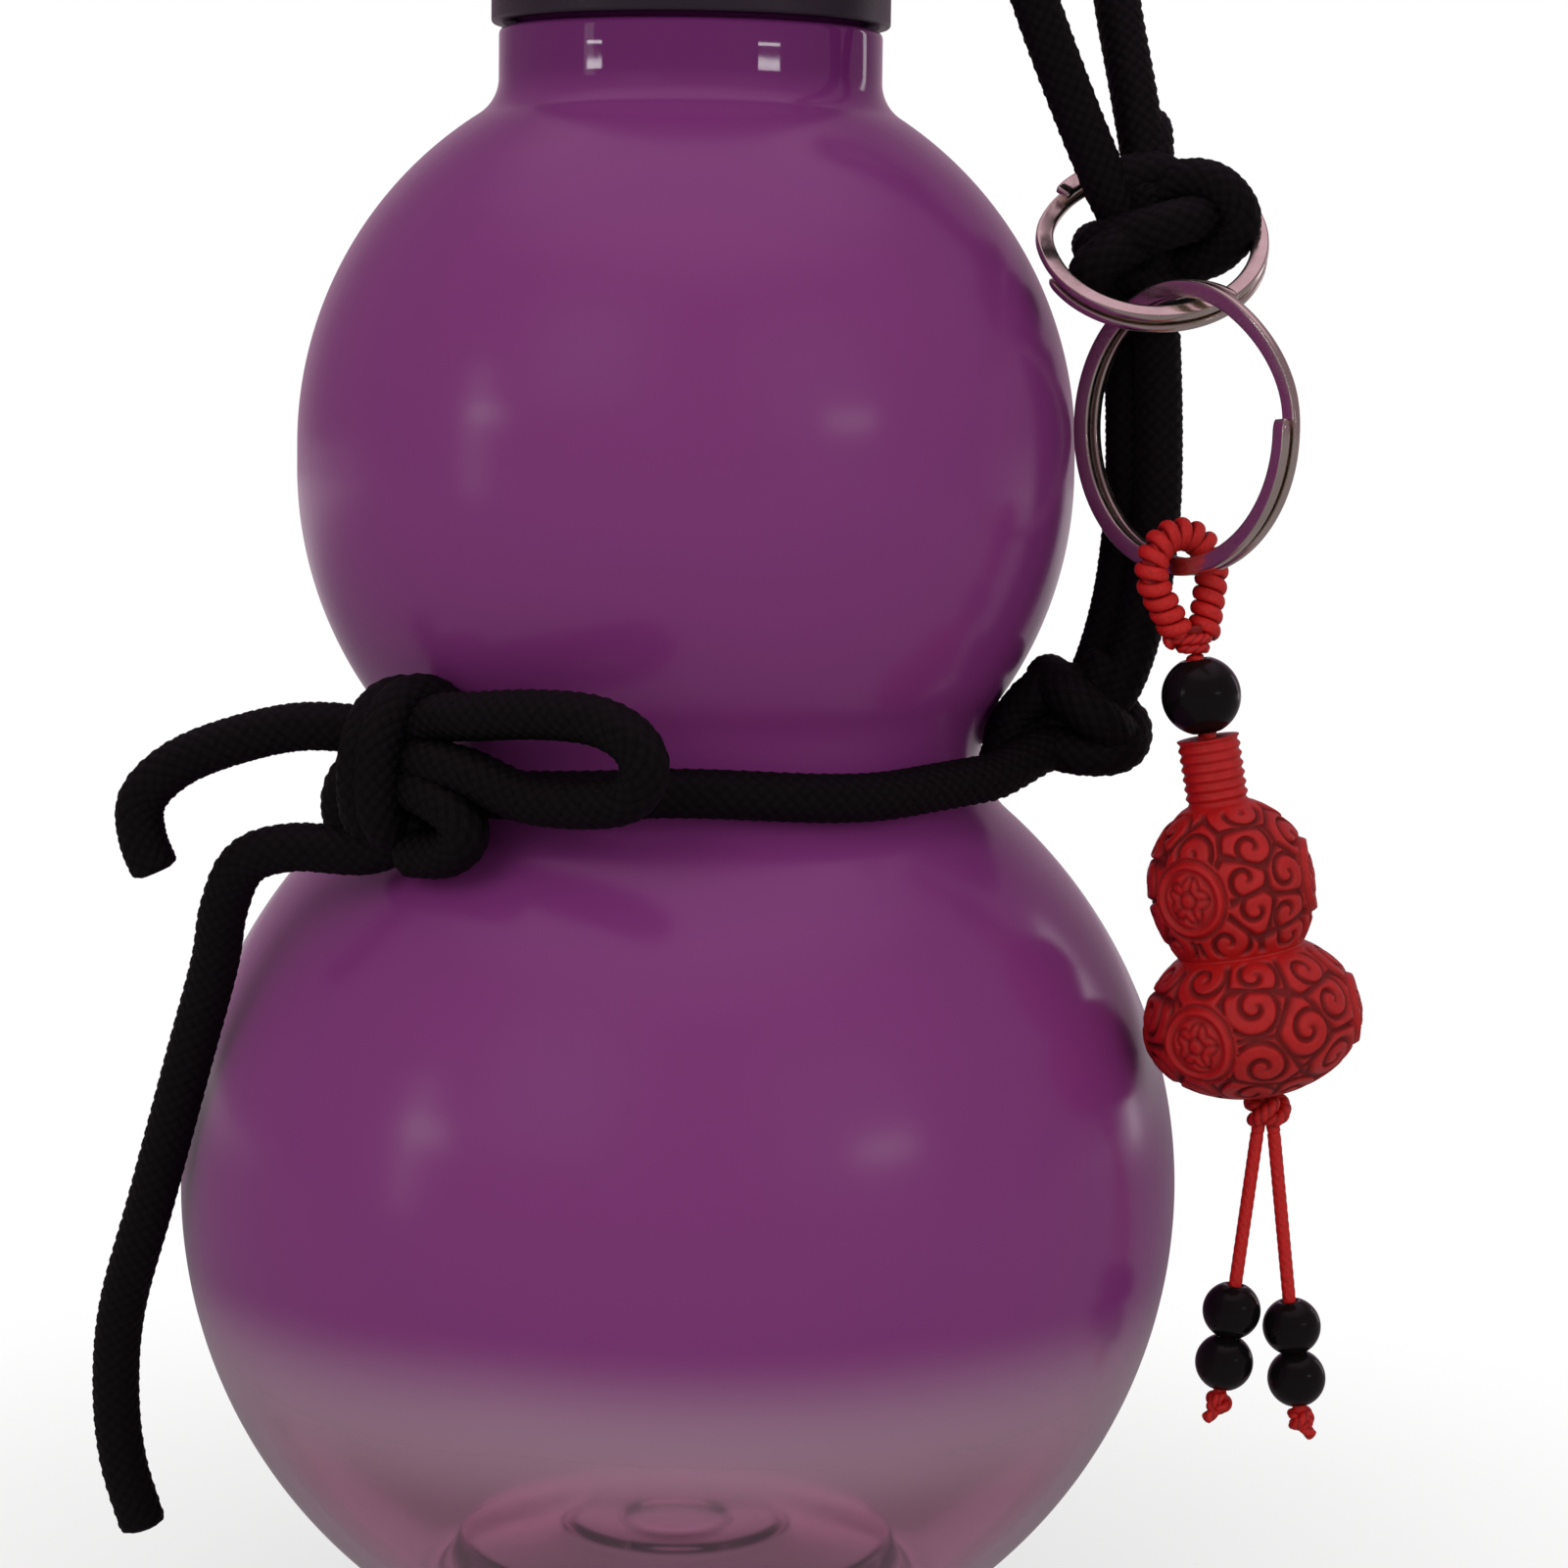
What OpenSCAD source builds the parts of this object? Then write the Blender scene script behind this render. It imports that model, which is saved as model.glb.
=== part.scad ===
// Gourd water bottle: a blow-moulded double-bulb bottle with a ribbed screw cap, a black cord
// tied round its waist with a half bow, two split rings and a carved gourd charm on a red string.
// Millimetres. The origin is the centre of the foot on the surface it stands on.
// +Z is up, -Y faces the viewer and +X is the side that carries the charm.

/* [Bottle] */
// Radius of the lower bulb
lower_bulb_r = 53; // [50:0.5:56]
// Height of the lower bulb's centre above the foot
lower_bulb_z = 45.3; // [44:0.1:47]
// Radius of the upper bulb
upper_bulb_r = 40.8; // [38:0.2:43]
// Height of the middle of the upper bulb
upper_bulb_z = 122.3; // [119:0.1:125]
// Straight band between the two halves of the upper bulb
upper_bulb_band = 2.6; // [0.5:0.1:4]
// Radius of the hollow curve that joins the bulbs at the waist
waist_fillet_r = 9; // [7:0.5:12]
// Radius of the hollow curve under the neck
shoulder_fillet_r = 4.5; // [3:0.5:7]
// Radius of the collar below the cap
collar_r = 20; // [19.4:0.1:20.6]
// Length of the straight collar below the cap
collar_h = 5.2; // [4:0.1:8]
// Wall thickness of the blown body
wall = 1.8; // [1.2:0.1:2.4]

/* [Neck finish] */
// Outer radius of the threaded neck under the cap
finish_r = 18.2; // [17.6:0.1:18.4]
// Height of the threaded neck above the collar
finish_h = 20; // [16:0.5:24]
// Radius of the mouth
mouth_r = 16; // [14:0.1:16.4]

/* [Base] */
// Radius of the middle of the ring that the bottle stands on
foot_r = 26.5; // [25.5:0.1:27]
// Width of the flat on the standing ring
foot_w = 2.2; // [1.6:0.1:2.6]
// Height of the pushed-up middle of the base
push_up_h = 4.8; // [3:0.1:7]
// Radius of the outer moulded ring in the base
base_ring_r = 11.5; // [9:0.1:14]
// Radius of the inner moulded ring in the base
base_button_r = 6; // [4:0.1:7]
// Height of the moulded rings
base_step_h = 0.8; // [0.4:0.1:1.2]

/* [Cap] */
// Radius of the plain band round the cap's lower edge
cap_band_r = 20.8; // [20.7:0.1:21.5]
// Height of the plain band
cap_band_h = 3; // [2:0.1:5]
// Depth of one grip rib
rib_depth = 0.6; // [0.3:0.1:0.8]
// Number of grip ribs round the cap
rib_count = 60; // [40:1:72]
// Thickness of the cap's roof
cap_roof_t = 2.4; // [1.6:0.1:3]
// Rise of the domed top above its rounded edge
cap_dome_h = 1.6; // [0.5:0.1:3]
// Radius of the rounded top edge
cap_edge_r = 2; // [1:0.1:3]
// Gap between the cap's lower edge and the collar
cap_gap = 0.4; // [0.3:0.1:0.8]
// Room for the thread between the neck and the cap's bore
thread_room = 1.1; // [0.9:0.1:1.3]
// Thickness of the seal in the cap
seal_t = 1.5; // [1:0.1:2.5]

/* [Cord] */
// Thickness of the black cord
cord_d = 5; // [4.6:0.1:5.2]
// Slope of the waist turn, rising to the right
waist_tilt = 3.5; // [2:0.1:4]
// Direction of the half bow, measured from +X
bow_turn = 229; // [222:1:236]
// Direction of the knot at the right of the waist, measured from +X
knot_turn = -11; // [-14:1:-8]
// Distance from the waist to the middle of that knot
knot_reach = 11; // [10:0.1:12]

/* [Split rings] */
// Middle radius of the upper split ring
upper_ring_r = 11; // [10.5:0.1:11.5]
// Middle radius of the lower split ring
lower_ring_r = 14; // [13:0.1:15]
// Radial width of the ring wire
wire_w = 1.8; // [1.4:0.1:2]
// Axial height of one layer of ring wire
wire_h = 1; // [0.8:0.1:1.1]
// Gap between the two layers of a ring
layer_gap = 0.45; // [0.42:0.01:0.6]
// Tilt of the upper ring, front edge down
upper_ring_tilt = 45; // [40:1:50]
// Turn of the lower ring away from facing the viewer, its right side coming forward
lower_ring_turn = 50; // [46:1:54]

/* [Charm] */
// Radius of the charm's lower bulb
charm_lower_r = 11.3; // [10:0.1:12]
// Radius of the charm's upper bulb
charm_upper_r = 8.6; // [8:0.1:9.2]
// Radius of the charm's waist
charm_waist_r = 6.4; // [5.5:0.1:7]
// Radius of the charm's neck
charm_neck_r = 3.4; // [3:0.1:3.8]
// Height of the lower bulb's middle above the charm's foot
charm_bulb_h = 7.7; // [7.2:0.1:8.2]
// Distance between the middles of the charm's bulbs
charm_bulb_pitch = 14.4; // [13.8:0.1:15]
// Height of the crease between the bulbs above the lower bulb's middle
charm_waist_up = 7.6; // [7:0.1:8]
// Height of the neck's foot above the upper bulb's middle
charm_shoulder_h = 8.4; // [7.8:0.1:9]
// Length of the charm's ribbed neck
charm_neck_h = 6.9; // [5.5:0.1:8]
// Number of ribs on the charm's neck
neck_ribs = 4; // [3:1:5]
// Radius of the round medallions on the charm
medallion_r = 4; // [3:0.1:4.6]
// Height of the medallions above the bulbs
medallion_h = 0.5; // [0.3:0.1:0.8]
// Number of medallions round each bulb
medallion_count = 3; // [2:1:4]
// Radius of the black bead above the charm
bead_r = 4.05; // [3.5:0.05:4.5]
// Thickness of the red cord that carries the charm
string_d = 2; // [1.6:0.1:2.2]
// Gap round a cord in a bored bead
bead_fit = 0.08; // [0.06:0.01:0.1]
// Gap between the charm and the bulb that it leans towards
lean_gap = 0.8; // [0.8:0.1:1.5]

/* [Wrapped loop] */
// Middle radius of the wrapped loop's top
loop_r = 3.85; // [3.75:0.05:4.2]
// Length of the loop from the middle of its top arc to its lower end
loop_drop = 8.4; // [8:0.1:10]
// Thickness of the loop's core
loop_core_d = 2; // [1.8:0.1:2.1]
// Thickness of the wrapping thread
thread_d = 0.65; // [0.5:0.05:0.7]
// Turn of the loop towards the viewer's right
loop_turn = 33; // [28:1:38]

/* [Tassels] */
// Radius of the red knot under the charm
red_knot_r = 2.6; // [2.2:0.1:2.8]
// Half height of the red knot
red_knot_h = 1.7; // [1.4:0.1:2.2]
// Thickness of the tassel cords
tassel_d = 1.4; // [1.2:0.1:1.6]
// Length of the left tassel cord
tassel_len = 28.2; // [26:0.2:32]
// How much longer the right tassel cord is
tassel_extra = 1.6; // [0:0.1:2.4]
// Distance between the tops of the tassel cords
tassel_pitch = 1.8; // [1.8:0.1:2.6]
// Gap between the upper beads of the two tassels
bead_side_gap = 0.45; // [0.3:0.05:1]
// Radius of the tassel beads
tassel_bead_r = 3; // [2.4:0.1:3.1]
// Length of a tassel bead along its cord
tassel_bead_h = 5.4; // [4.5:0.1:5.6]
// Radius of the end knots
end_knot_r = 1.5; // [1.3:0.1:2]

/* [Hidden] */

// Smoothness of turned surfaces
turned_fn = 96;
// Running gap between flat faces that rest on each other
seat_gap = 0.05;
// Gap between pieces threaded one after another on a cord
bead_gap = 0.1;
// Gap left between pieces that move against each other
move_gap = 0.3;
// Overshoot that opens a cut
over = 1;

// Colours as the photograph shows them
shell_colour = [0.45, 0.20, 0.42, 0.75];
cap_colour = [0.07, 0.05, 0.07];
cord_colour = [0.05, 0.04, 0.05];
steel_colour = [0.76, 0.74, 0.70];
red_colour = [0.55, 0.08, 0.08];
black_colour = [0.06, 0.05, 0.05];
seal_colour = [0.85, 0.85, 0.83];

// Heights and radii of the waist: the hollow curve touches both bulbs
lower_top_z = lower_bulb_z;
upper_low_z = upper_bulb_z - upper_bulb_band / 2;
upper_top_z = upper_bulb_z + upper_bulb_band / 2;
reach_low = lower_bulb_r + waist_fillet_r;
reach_up = upper_bulb_r + waist_fillet_r;
waist_z = ((reach_low ^ 2 - reach_up ^ 2) + (upper_low_z ^ 2 - lower_top_z ^ 2))
    / (2 * (upper_low_z - lower_top_z));
waist_centre_r = sqrt(reach_low ^ 2 - (waist_z - lower_top_z) ^ 2);
waist_r = waist_centre_r - waist_fillet_r;
waist_low_angle = atan2(waist_z - lower_top_z, waist_centre_r);
waist_up_angle = atan2(waist_z - upper_low_z, waist_centre_r);

// Shoulder, collar, neck finish and mouth
shoulder_centre_r = collar_r + shoulder_fillet_r;
collar_z = upper_top_z + sqrt((upper_bulb_r + shoulder_fillet_r) ^ 2 - shoulder_centre_r ^ 2);
shoulder_angle = atan2(collar_z - upper_top_z, shoulder_centre_r);
finish_z = collar_z + collar_h;
mouth_z = finish_z + finish_h;
collar_edge = 0.5;
lip_r = 0.8;

// Heel and base
// The bulb meets the heel at least this high, and always outside the standing ring
heel_low = 1.4;
heel_reach = 2;
inner_heel_low = 2.8;
inner_heel_reach = 0.9;
foot_out_r = foot_r + foot_w / 2;
foot_in_r = foot_r - foot_w / 2;
heel_z = max(heel_low, lower_bulb_z - sqrt(lower_bulb_r ^ 2 - (foot_out_r + heel_reach) ^ 2));
heel_angle = asin((heel_z - lower_bulb_z) / lower_bulb_r);
push_up_r = foot_in_r - 1.2;
trough_z = wall + 0.3;
inner_heel_z = max(inner_heel_low,
    lower_bulb_z - sqrt((lower_bulb_r - wall) ^ 2 - (foot_out_r + inner_heel_reach) ^ 2));
inner_heel_angle = asin((inner_heel_z - lower_bulb_z) / (lower_bulb_r - wall));

// Cap
cap_low_z = finish_z + cap_gap;
cap_bore_r = finish_r + thread_room;
seal_low_z = mouth_z + seat_gap;
cap_ceiling_z = seal_low_z + seal_t + seat_gap;
cap_side_top_z = cap_ceiling_z + cap_roof_t - cap_edge_r;
rib_points = 6;
cap_top_r = cap_band_r - 0.2;
seal_r = cap_bore_r - 0.3;

// Cord harness
cord_r = cord_d / 2;
cord_sides = 10;
waist_turn_r = waist_r + cord_r + 0.4;
turn_drop = 0.5;
turn_centre = [0, 0, waist_z - turn_drop];
knot_rise = 5.3;
knot_at = [(waist_r + knot_reach) * cos(knot_turn), (waist_r + knot_reach) * sin(knot_turn),
    waist_z + knot_rise];
turn_half_open = acos(waist_turn_r / (waist_r + knot_reach));
straight_len = sqrt((waist_r + knot_reach) ^ 2 - waist_turn_r ^ 2) - cord_r;
bow_reach = 7.4;
bow_rise = 0.3;
bow_at = [(waist_r + bow_reach) * cos(bow_turn), (waist_r + bow_reach) * sin(bow_turn),
    waist_z + bow_rise];
// Middle of the ring knot: out from the upper bulb, towards the viewer and above its middle
ring_knot_out = 6.4;
ring_knot_side = -7.4;
ring_knot_rise = 22;
ring_knot_at = [upper_bulb_r + ring_knot_out, ring_knot_side, upper_bulb_z + ring_knot_rise];

// The bow's cords, as offsets from the middle of its knot: right, towards the viewer, up
bow_wrap_route = [[1.5, -3.6, 4.6], [0.8, -0.6, 6.8], [0.2, 2.8, 6.2], [0, 4.9, 3], [-0.2, 5.3, -1],
    [-0.5, 4.3, -4.8], [-0.8, 1.4, -6.9], [-1, -2.2, -5.6]];
bow_left_route = [[1.5, 1.6, 1.5], [-2.5, 2.8, 0.8], [-6, 3, -1.2], [-7.8, 2.6, -4], [-7, 2.2, -7],
    [-4.5, 1.8, -8.6]];
bow_right_route = [[-2.5, 1.6, -2], [2.4, 2.8, -2], [6, 2.8, -3.8], [7, 2.4, -6], [4.6, 2.2, -7.8],
    [0.5, 2, -8]];
bow_loop_route = [[3.5, 1.2, 5], [10, 1.6, 6.2], [17, 0.6, 6.4], [23.5, -0.6, 6.2], [27.6, -1.4, 4.6],
    [29, -1.8, 1.9], [27.2, -1.6, -0.9], [22.5, -0.7, -1.9], [15.5, 0.6, -1.8], [9, 1.8, -1.2],
    [3.5, 2.4, -0.4]];

// The tails of the bow, from the knot to their cut ends
upper_tail_route = [[-29, -26.8, 96], [-37, -26, 96], [-44, -25.5, 94.5], [-50, -25.2, 92],
    [-53.6, -25, 88.4], [-53.6, -25, 84.5], [-52.2, -25, 81]];
lower_tail_route = [[-31, -30, 83.4], [-38, -29, 84.4], [-43, -27.5, 82.4], [-45.4, -25.5, 77.4],
    [-46.6, -23.6, 71.5], [-49.8, -21, 60.5], [-54, -17.5, 46], [-57.6, -14, 34], [-58.6, -12.5, 25],
    [-58, -12, 17], [-55.8, -12, 9.5]];

// The wrap of the waist knot lies square to the cord that it grips
knot_axis = [0.62, 0, 0.78];
knot_wrap_r = 4.7;
knot_wrap_side = 5.8;
knot_strand_route = [[-7.4, 0, -4.2], [-3.6, 0, -2.6], [0, 0, 0.6], [2.6, 0, 5.4]];
strand_split = 1.9;

// The doubled cord from the waist knot to the ring knot, and the hand loop above it
riser_out = 6.8;
function riser_z(u) = knot_at[2] + u * (ring_knot_at[2] - knot_at[2]);
riser_route = [knot_at + [2.8, 0.1, 4.1], [upper_bulb_r + riser_out - 1, -7, riser_z(0.246)],
    [upper_bulb_r + riser_out, -6, riser_z(0.438)], [upper_bulb_r + riser_out, -5.7, riser_z(0.631)],
    ring_knot_at + [-0.1, 1.2, -7.8]];
riser_offset = [1.4, -2.1, 0];
ring_knot_strand = [[0, 0, -8.6], [-0.3, -0.2, -3], [-1, -0.2, 3], [-1.9, -0.4, 7.4]];
ring_strand_half = 1.2;
ring_strand_back = 0.5;
ring_strand_split = 1.4;
// The two wraps of the ring knot: place, tilt and half widths
upper_wrap_at = [0.6, 0, 2.4];
upper_wrap_tilt = 16;
upper_wrap_r = 6;
upper_wrap_side = 5.2;
lower_wrap_at = [-0.4, 2.3, -2.8];
lower_wrap_tilt = -14;
lower_wrap_r = 4.6;
lower_wrap_side = 3.9;
ring_hook_route = [[-0.4, -6.6, -4.2], [0, -3.8, 1.2], [0, -1.7, 3.8], [0, 2, 3.6], [0, 4, 0.6],
    [0, 3, -3], [-0.4, -0.8, -7.6]];
strap_route = [[-4.8, -2, 7.5], [-8.2, -2.6, 15.7], [-12, -3.4, 25.2], [-15.2, -3.8, 34.7],
    [-17, -2.6, 43.2], [-16.4, 1.8, 50.1], [-13.2, 8, 52.9], [-8.6, 12.4, 49.1], [-5.2, 13, 41.2],
    [-3.6, 10, 32.7], [-2.8, 6.2, 25.2], [-1.4, 2.6, 16.7], [-0.4, 0.2, 9.1]];

// Split rings: the lower one hangs from the front of the upper one
upper_ring_shift = [0.4, -3, 1];
upper_ring_at = ring_knot_at + upper_ring_shift;
ring_cross = 1.9;
hang_turn = 16;
hang_at = upper_ring_at + upper_ring_r * [sin(hang_turn), -cos(hang_turn) * cos(upper_ring_tilt),
    -cos(hang_turn) * sin(upper_ring_tilt)];
lower_ring_at = hang_at + [0, 0, ring_cross + wire_w / 2 - lower_ring_r];
ring_steps = 48;
ring_sides = 6;
ring_layer = wire_h + layer_gap;
// Angle over which the wire climbs a layer, and the gap between that climb and each end
ring_climb = 52.5;
ring_end_gap = 3.75;
ring_total = 720 - ring_climb - 2 * ring_end_gap;
upper_ring_start = 205;
lower_ring_start = 65;
lower_wire_z = lower_ring_at[2] - lower_ring_r;

// The charm's string: it swings on the lower ring's wire and leans towards the bulb
swing_at = [lower_ring_at[0], lower_ring_at[1], lower_wire_z];
loop_skin = loop_core_d / 2 + thread_d + 0.02;
loop_seat = 0.85;
loop_arc_at = loop_r - loop_skin - wire_w / 2 - loop_seat + 0.12;
loop_end = loop_arc_at + loop_drop;
bead_at = loop_end + bead_r + 0.3;
charm_top = bead_at + bead_r + 0.3;
charm_upper_z = charm_bulb_h + charm_bulb_pitch;
charm_neck_z = charm_upper_z + charm_shoulder_h;
charm_len = charm_neck_z + charm_neck_h;
charm_foot = charm_top + charm_len;
charm_lower_at = charm_foot - charm_bulb_h;
charm_bore_r = string_d / 2 + bead_fit;
charm_foot_angle = 72;
charm_foot_z = charm_bulb_h * (1 - sin(charm_foot_angle));
red_knot_gap = 0.18;
red_knot_at = charm_foot - charm_foot_z + red_knot_h + red_knot_gap;
// Lean at which the charm's lower bulb stands clear of the bottle by the stated gap
lean_reach = (lower_bulb_r + charm_lower_r + lean_gap) ^ 2 - swing_at[1] ^ 2;
lean_high = swing_at[2] - lower_bulb_z;
lean_arm = norm([swing_at[0], lean_high]);
lean = atan2(lean_high, swing_at[0])
    + asin((lean_reach - lean_arm ^ 2 - charm_lower_at ^ 2) / (2 * charm_lower_at * lean_arm));

// Ribbed neck and bulbs of the charm: each bulb is two half ovals that meet at its middle
rib_depth_neck = 0.45;
bulb_steps = 10;
medallion_facing = -128;
lower_waist_angle = acos(charm_waist_r / charm_lower_r);
upper_waist_angle = acos(charm_waist_r / charm_upper_r);
upper_neck_angle = acos(charm_neck_r / charm_upper_r);
// Radius, height of the middle, half heights below and above it, and the angles of both ends
charm_bulbs = [
    [charm_lower_r, charm_bulb_h, charm_bulb_h, charm_waist_up / sin(lower_waist_angle),
        charm_foot_angle, lower_waist_angle],
    [charm_upper_r, charm_upper_z, (charm_bulb_pitch - charm_waist_up) / sin(upper_waist_angle),
        charm_shoulder_h / sin(upper_neck_angle), upper_waist_angle, upper_neck_angle]];

// The wrapping thread runs round the loop's core
loop_steps = 28;
wrap_margin = 1.4;
wrap_turns = 13;
wrap_rings = 24;
wrap_sides = 6;
wrap_r = loop_core_d / 2 + thread_d / 2 + 0.02;
loop_foot_x = 1.6;
loop_foot_z = loop_drop - 2.2;
loop_foot_reach = norm([loop_foot_x, loop_foot_z]);
loop_arc_low = atan2(loop_foot_z, loop_foot_x) - acos(loop_r / loop_foot_reach);
loop_side_len = sqrt(loop_foot_reach ^ 2 - loop_r ^ 2);
loop_arc_len = PI * loop_r * (180 + 2 * loop_arc_low) / 180;
loop_len = loop_arc_len + 2 * loop_side_len;

// Tassels
loop_core_sides = 8;
function tassel_run(side) = tassel_len + (side > 0 ? tassel_extra : 0);
function lower_bead_s(side) = tassel_run(side) - end_knot_r - tassel_bead_h / 2 - bead_gap;
function upper_bead_s(side) = lower_bead_s(side) - tassel_bead_h - bead_gap;
red_knot_pos = swing_at + red_knot_at * [sin(lean), 0, -cos(lean)];
tassel_top = red_knot_pos
    - [0, 0, red_knot_h + tassel_d / 2 + move_gap + tassel_pitch / 2 * sin(lean)];
// The upper beads hang side by side, just clear of each other
beads_apart = sqrt((2 * tassel_bead_r + bead_side_gap) ^ 2 - tassel_extra ^ 2);
tassel_spread = asin((beads_apart - tassel_pitch) / (upper_bead_s(-1) + upper_bead_s(1)));

// Vectors and swept tubes
function unit(v) = v / norm(v);

// Points of an arc in the plane of a profile
function arc(cx, cz, r, from, to, n) =
    [for (i = [0:n]) let (a = from + (to - from) * i / n) [cx + r * cos(a), cz + r * sin(a)]];

// Directions along a route, and side vectors carried along it without twist
function headings(p) =
    [for (i = [0:len(p) - 1]) unit(p[min(i + 1, len(p) - 1)] - p[max(i - 1, 0)])];
function carried(t, n, i = 0) =
    i >= len(t) ? [] : let (m = unit(n - (n * t[i]) * t[i])) concat([m], carried(t, m, i + 1));

// Points of rings with half widths ra and rb round every point of a route
function ring_points(p, t, n, ra, rb, sides) =
    [for (i = [0:len(p) - 1]) let (b = cross(t[i], n[i]))
        for (k = [0:sides - 1]) p[i] + ra * cos(360 * k / sides) * n[i] + rb * sin(360 * k / sides) * b];

// Triangles of an open tube with flat ends, and of a closed one
function side_faces(rings, sides, closed = false) =
    [for (i = [0:(closed ? rings - 1 : rings - 2)], k = [0:sides - 1])
        let (a = i * sides, b = ((i + 1) % rings) * sides, m = (k + 1) % sides)
            each [[a + k, b + k, b + m], [a + k, b + m, a + m]]];
function end_faces(rings, sides) =
    let (last = (rings - 1) * sides)
        [for (k = [1:sides - 2]) each [[0, k, k + 1], [last, last + k + 1, last + k]]];

module tube(p, ra, rb, sides, side) {
    t = headings(p);
    polyhedron(ring_points(p, t, carried(t, side), ra, rb, sides),
        concat(side_faces(len(p), sides), end_faces(len(p), sides)), convexity = 6);
}

module cord(p) {
    tube(p, cord_r, cord_r, cord_sides, [0.1, 0.2, 1]);
}

// Smooth points through a route chosen by hand
function spline_at(a, b, c, d, u) =
    0.5 * (2 * b + (c - a) * u + (2 * a - 5 * b + 4 * c - d) * u ^ 2 + (3 * b - a - 3 * c + d) * u ^ 3);
function smooth(p, n) = concat([for (i = [0:len(p) - 2], j = [0:n - 1])
    spline_at(p[max(i - 1, 0)], p[i], p[i + 1], p[min(i + 2, len(p) - 1)], j / n)], [p[len(p) - 1]]);

// A bow route in the bottle's frame
function bow_frame(p) = [for (v = p) bow_at + v[0] * [-sin(bow_turn), cos(bow_turn), 0]
    + v[1] * [cos(bow_turn), sin(bow_turn), 0] + [0, 0, v[2]]];
function moved(p, by) = [for (v = p) v + by];
function tilted(a) = [-sin(a), 0, cos(a)];

// Least gap between the turns of a winding, measured on its own points
function winding_gap(p, skip, thick) =
    min([for (i = [0:len(p) - 1 - skip]) for (j = [i + skip:len(p) - 1]) norm(p[i] - p[j]) - thick]);

// Bottle
function outer_profile() = concat(
    [[0, push_up_h + base_step_h], [base_button_r - 0.3, push_up_h + base_step_h],
        [base_button_r, push_up_h + 2 * base_step_h], [base_ring_r - 0.3, push_up_h + 2 * base_step_h],
        [base_ring_r + 0.4, push_up_h + base_step_h], [push_up_r - 0.8, push_up_h],
        [push_up_r, push_up_h - 0.6], [foot_in_r - 0.3, 0.4], [foot_in_r, 0], [foot_out_r, 0]],
    arc(0, lower_bulb_z, lower_bulb_r, heel_angle, waist_low_angle, 36),
    [for (i = [1:11]) let (a = waist_low_angle + (waist_up_angle - waist_low_angle) * i / 12)
        [waist_centre_r - waist_fillet_r * cos(a), waist_z - waist_fillet_r * sin(a)]],
    arc(0, upper_low_z, upper_bulb_r, waist_up_angle, 0, 16),
    arc(0, upper_top_z, upper_bulb_r, 0, shoulder_angle, 20),
    [for (i = [1:8]) let (a = shoulder_angle * (1 - i / 8))
        [shoulder_centre_r - shoulder_fillet_r * cos(a), collar_z - shoulder_fillet_r * sin(a)]],
    [[collar_r, finish_z - collar_edge], [collar_r - collar_edge, finish_z], [finish_r, finish_z]],
    arc(finish_r - lip_r, mouth_z - lip_r, lip_r, 0, 90, 4));

function inner_profile() = concat(
    [[mouth_r + 0.4, mouth_z], [mouth_r, mouth_z - 0.4], [mouth_r, finish_z + 1],
        [collar_r - wall, finish_z - 2 * wall]],
    [for (i = [0:8]) let (a = shoulder_angle * i / 8)
        [shoulder_centre_r - (shoulder_fillet_r + wall) * cos(a),
            collar_z - (shoulder_fillet_r + wall) * sin(a)]],
    [for (i = [1:20]) let (a = shoulder_angle * (1 - i / 20))
        [(upper_bulb_r - wall) * cos(a), upper_top_z + (upper_bulb_r - wall) * sin(a)]],
    arc(0, upper_low_z, upper_bulb_r - wall, 0, waist_up_angle, 16),
    [for (i = [1:11]) let (a = waist_up_angle + (waist_low_angle - waist_up_angle) * i / 12)
        [waist_centre_r - (waist_fillet_r + wall) * cos(a), waist_z - (waist_fillet_r + wall) * sin(a)]],
    arc(0, lower_bulb_z, lower_bulb_r - wall, waist_low_angle, inner_heel_angle, 36),
    [[foot_r + 0.2, trough_z], [foot_in_r + 0.5, trough_z + 0.4],
        [push_up_r + wall - 0.6, push_up_h - 0.4], [push_up_r - 0.6, push_up_h + wall],
        [base_ring_r + 0.7, push_up_h + base_step_h + wall],
        [base_ring_r, push_up_h + 2 * base_step_h + wall],
        [base_button_r - 0.3, push_up_h + 2 * base_step_h + wall],
        [base_button_r - 0.6, push_up_h + base_step_h + wall], [0, push_up_h + base_step_h + wall]]);

module bottle_shell() {
    color(shell_colour)
        rotate_extrude($fn = turned_fn)
            polygon(concat(outer_profile(), inner_profile()));
}

// Cap: a plain band, a ribbed skirt and a domed roof over a plain bore
module cap_shell() {
    rib_h = cap_side_top_z - cap_low_z - cap_band_h;
    rib_n = rib_count * rib_points;
    color(cap_colour) {
        difference() {
            union() {
                translate([0, 0, cap_low_z + cap_band_h])
                    linear_extrude(rib_h)
                        polygon([for (i = [0:rib_n - 1]) let (a = 360 * i / rib_n)
                            (cap_band_r + rib_depth * (0.5 + 0.5 * cos(360 * i / rib_points)))
                                * [cos(a), sin(a)]]);
                rotate_extrude($fn = turned_fn)
                    polygon(concat([[0, cap_low_z], [cap_band_r - 0.4, cap_low_z],
                        [cap_band_r, cap_low_z + 0.4]],
                        arc(cap_top_r - cap_edge_r, cap_side_top_z, cap_edge_r, 0, 84, 6),
                        [[cap_top_r / 2, cap_side_top_z + cap_edge_r + 0.7 * cap_dome_h],
                            [0, cap_side_top_z + cap_edge_r + cap_dome_h]]));
            }
            translate([0, 0, cap_low_z - over])
                cylinder(r = cap_bore_r, h = cap_ceiling_z - cap_low_z + over, $fn = turned_fn);
        }
    }
}

module cap_seal() {
    color(seal_colour)
        translate([0, 0, seal_low_z])
            cylinder(r = seal_r, h = seal_t, $fn = turned_fn);
}

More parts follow.
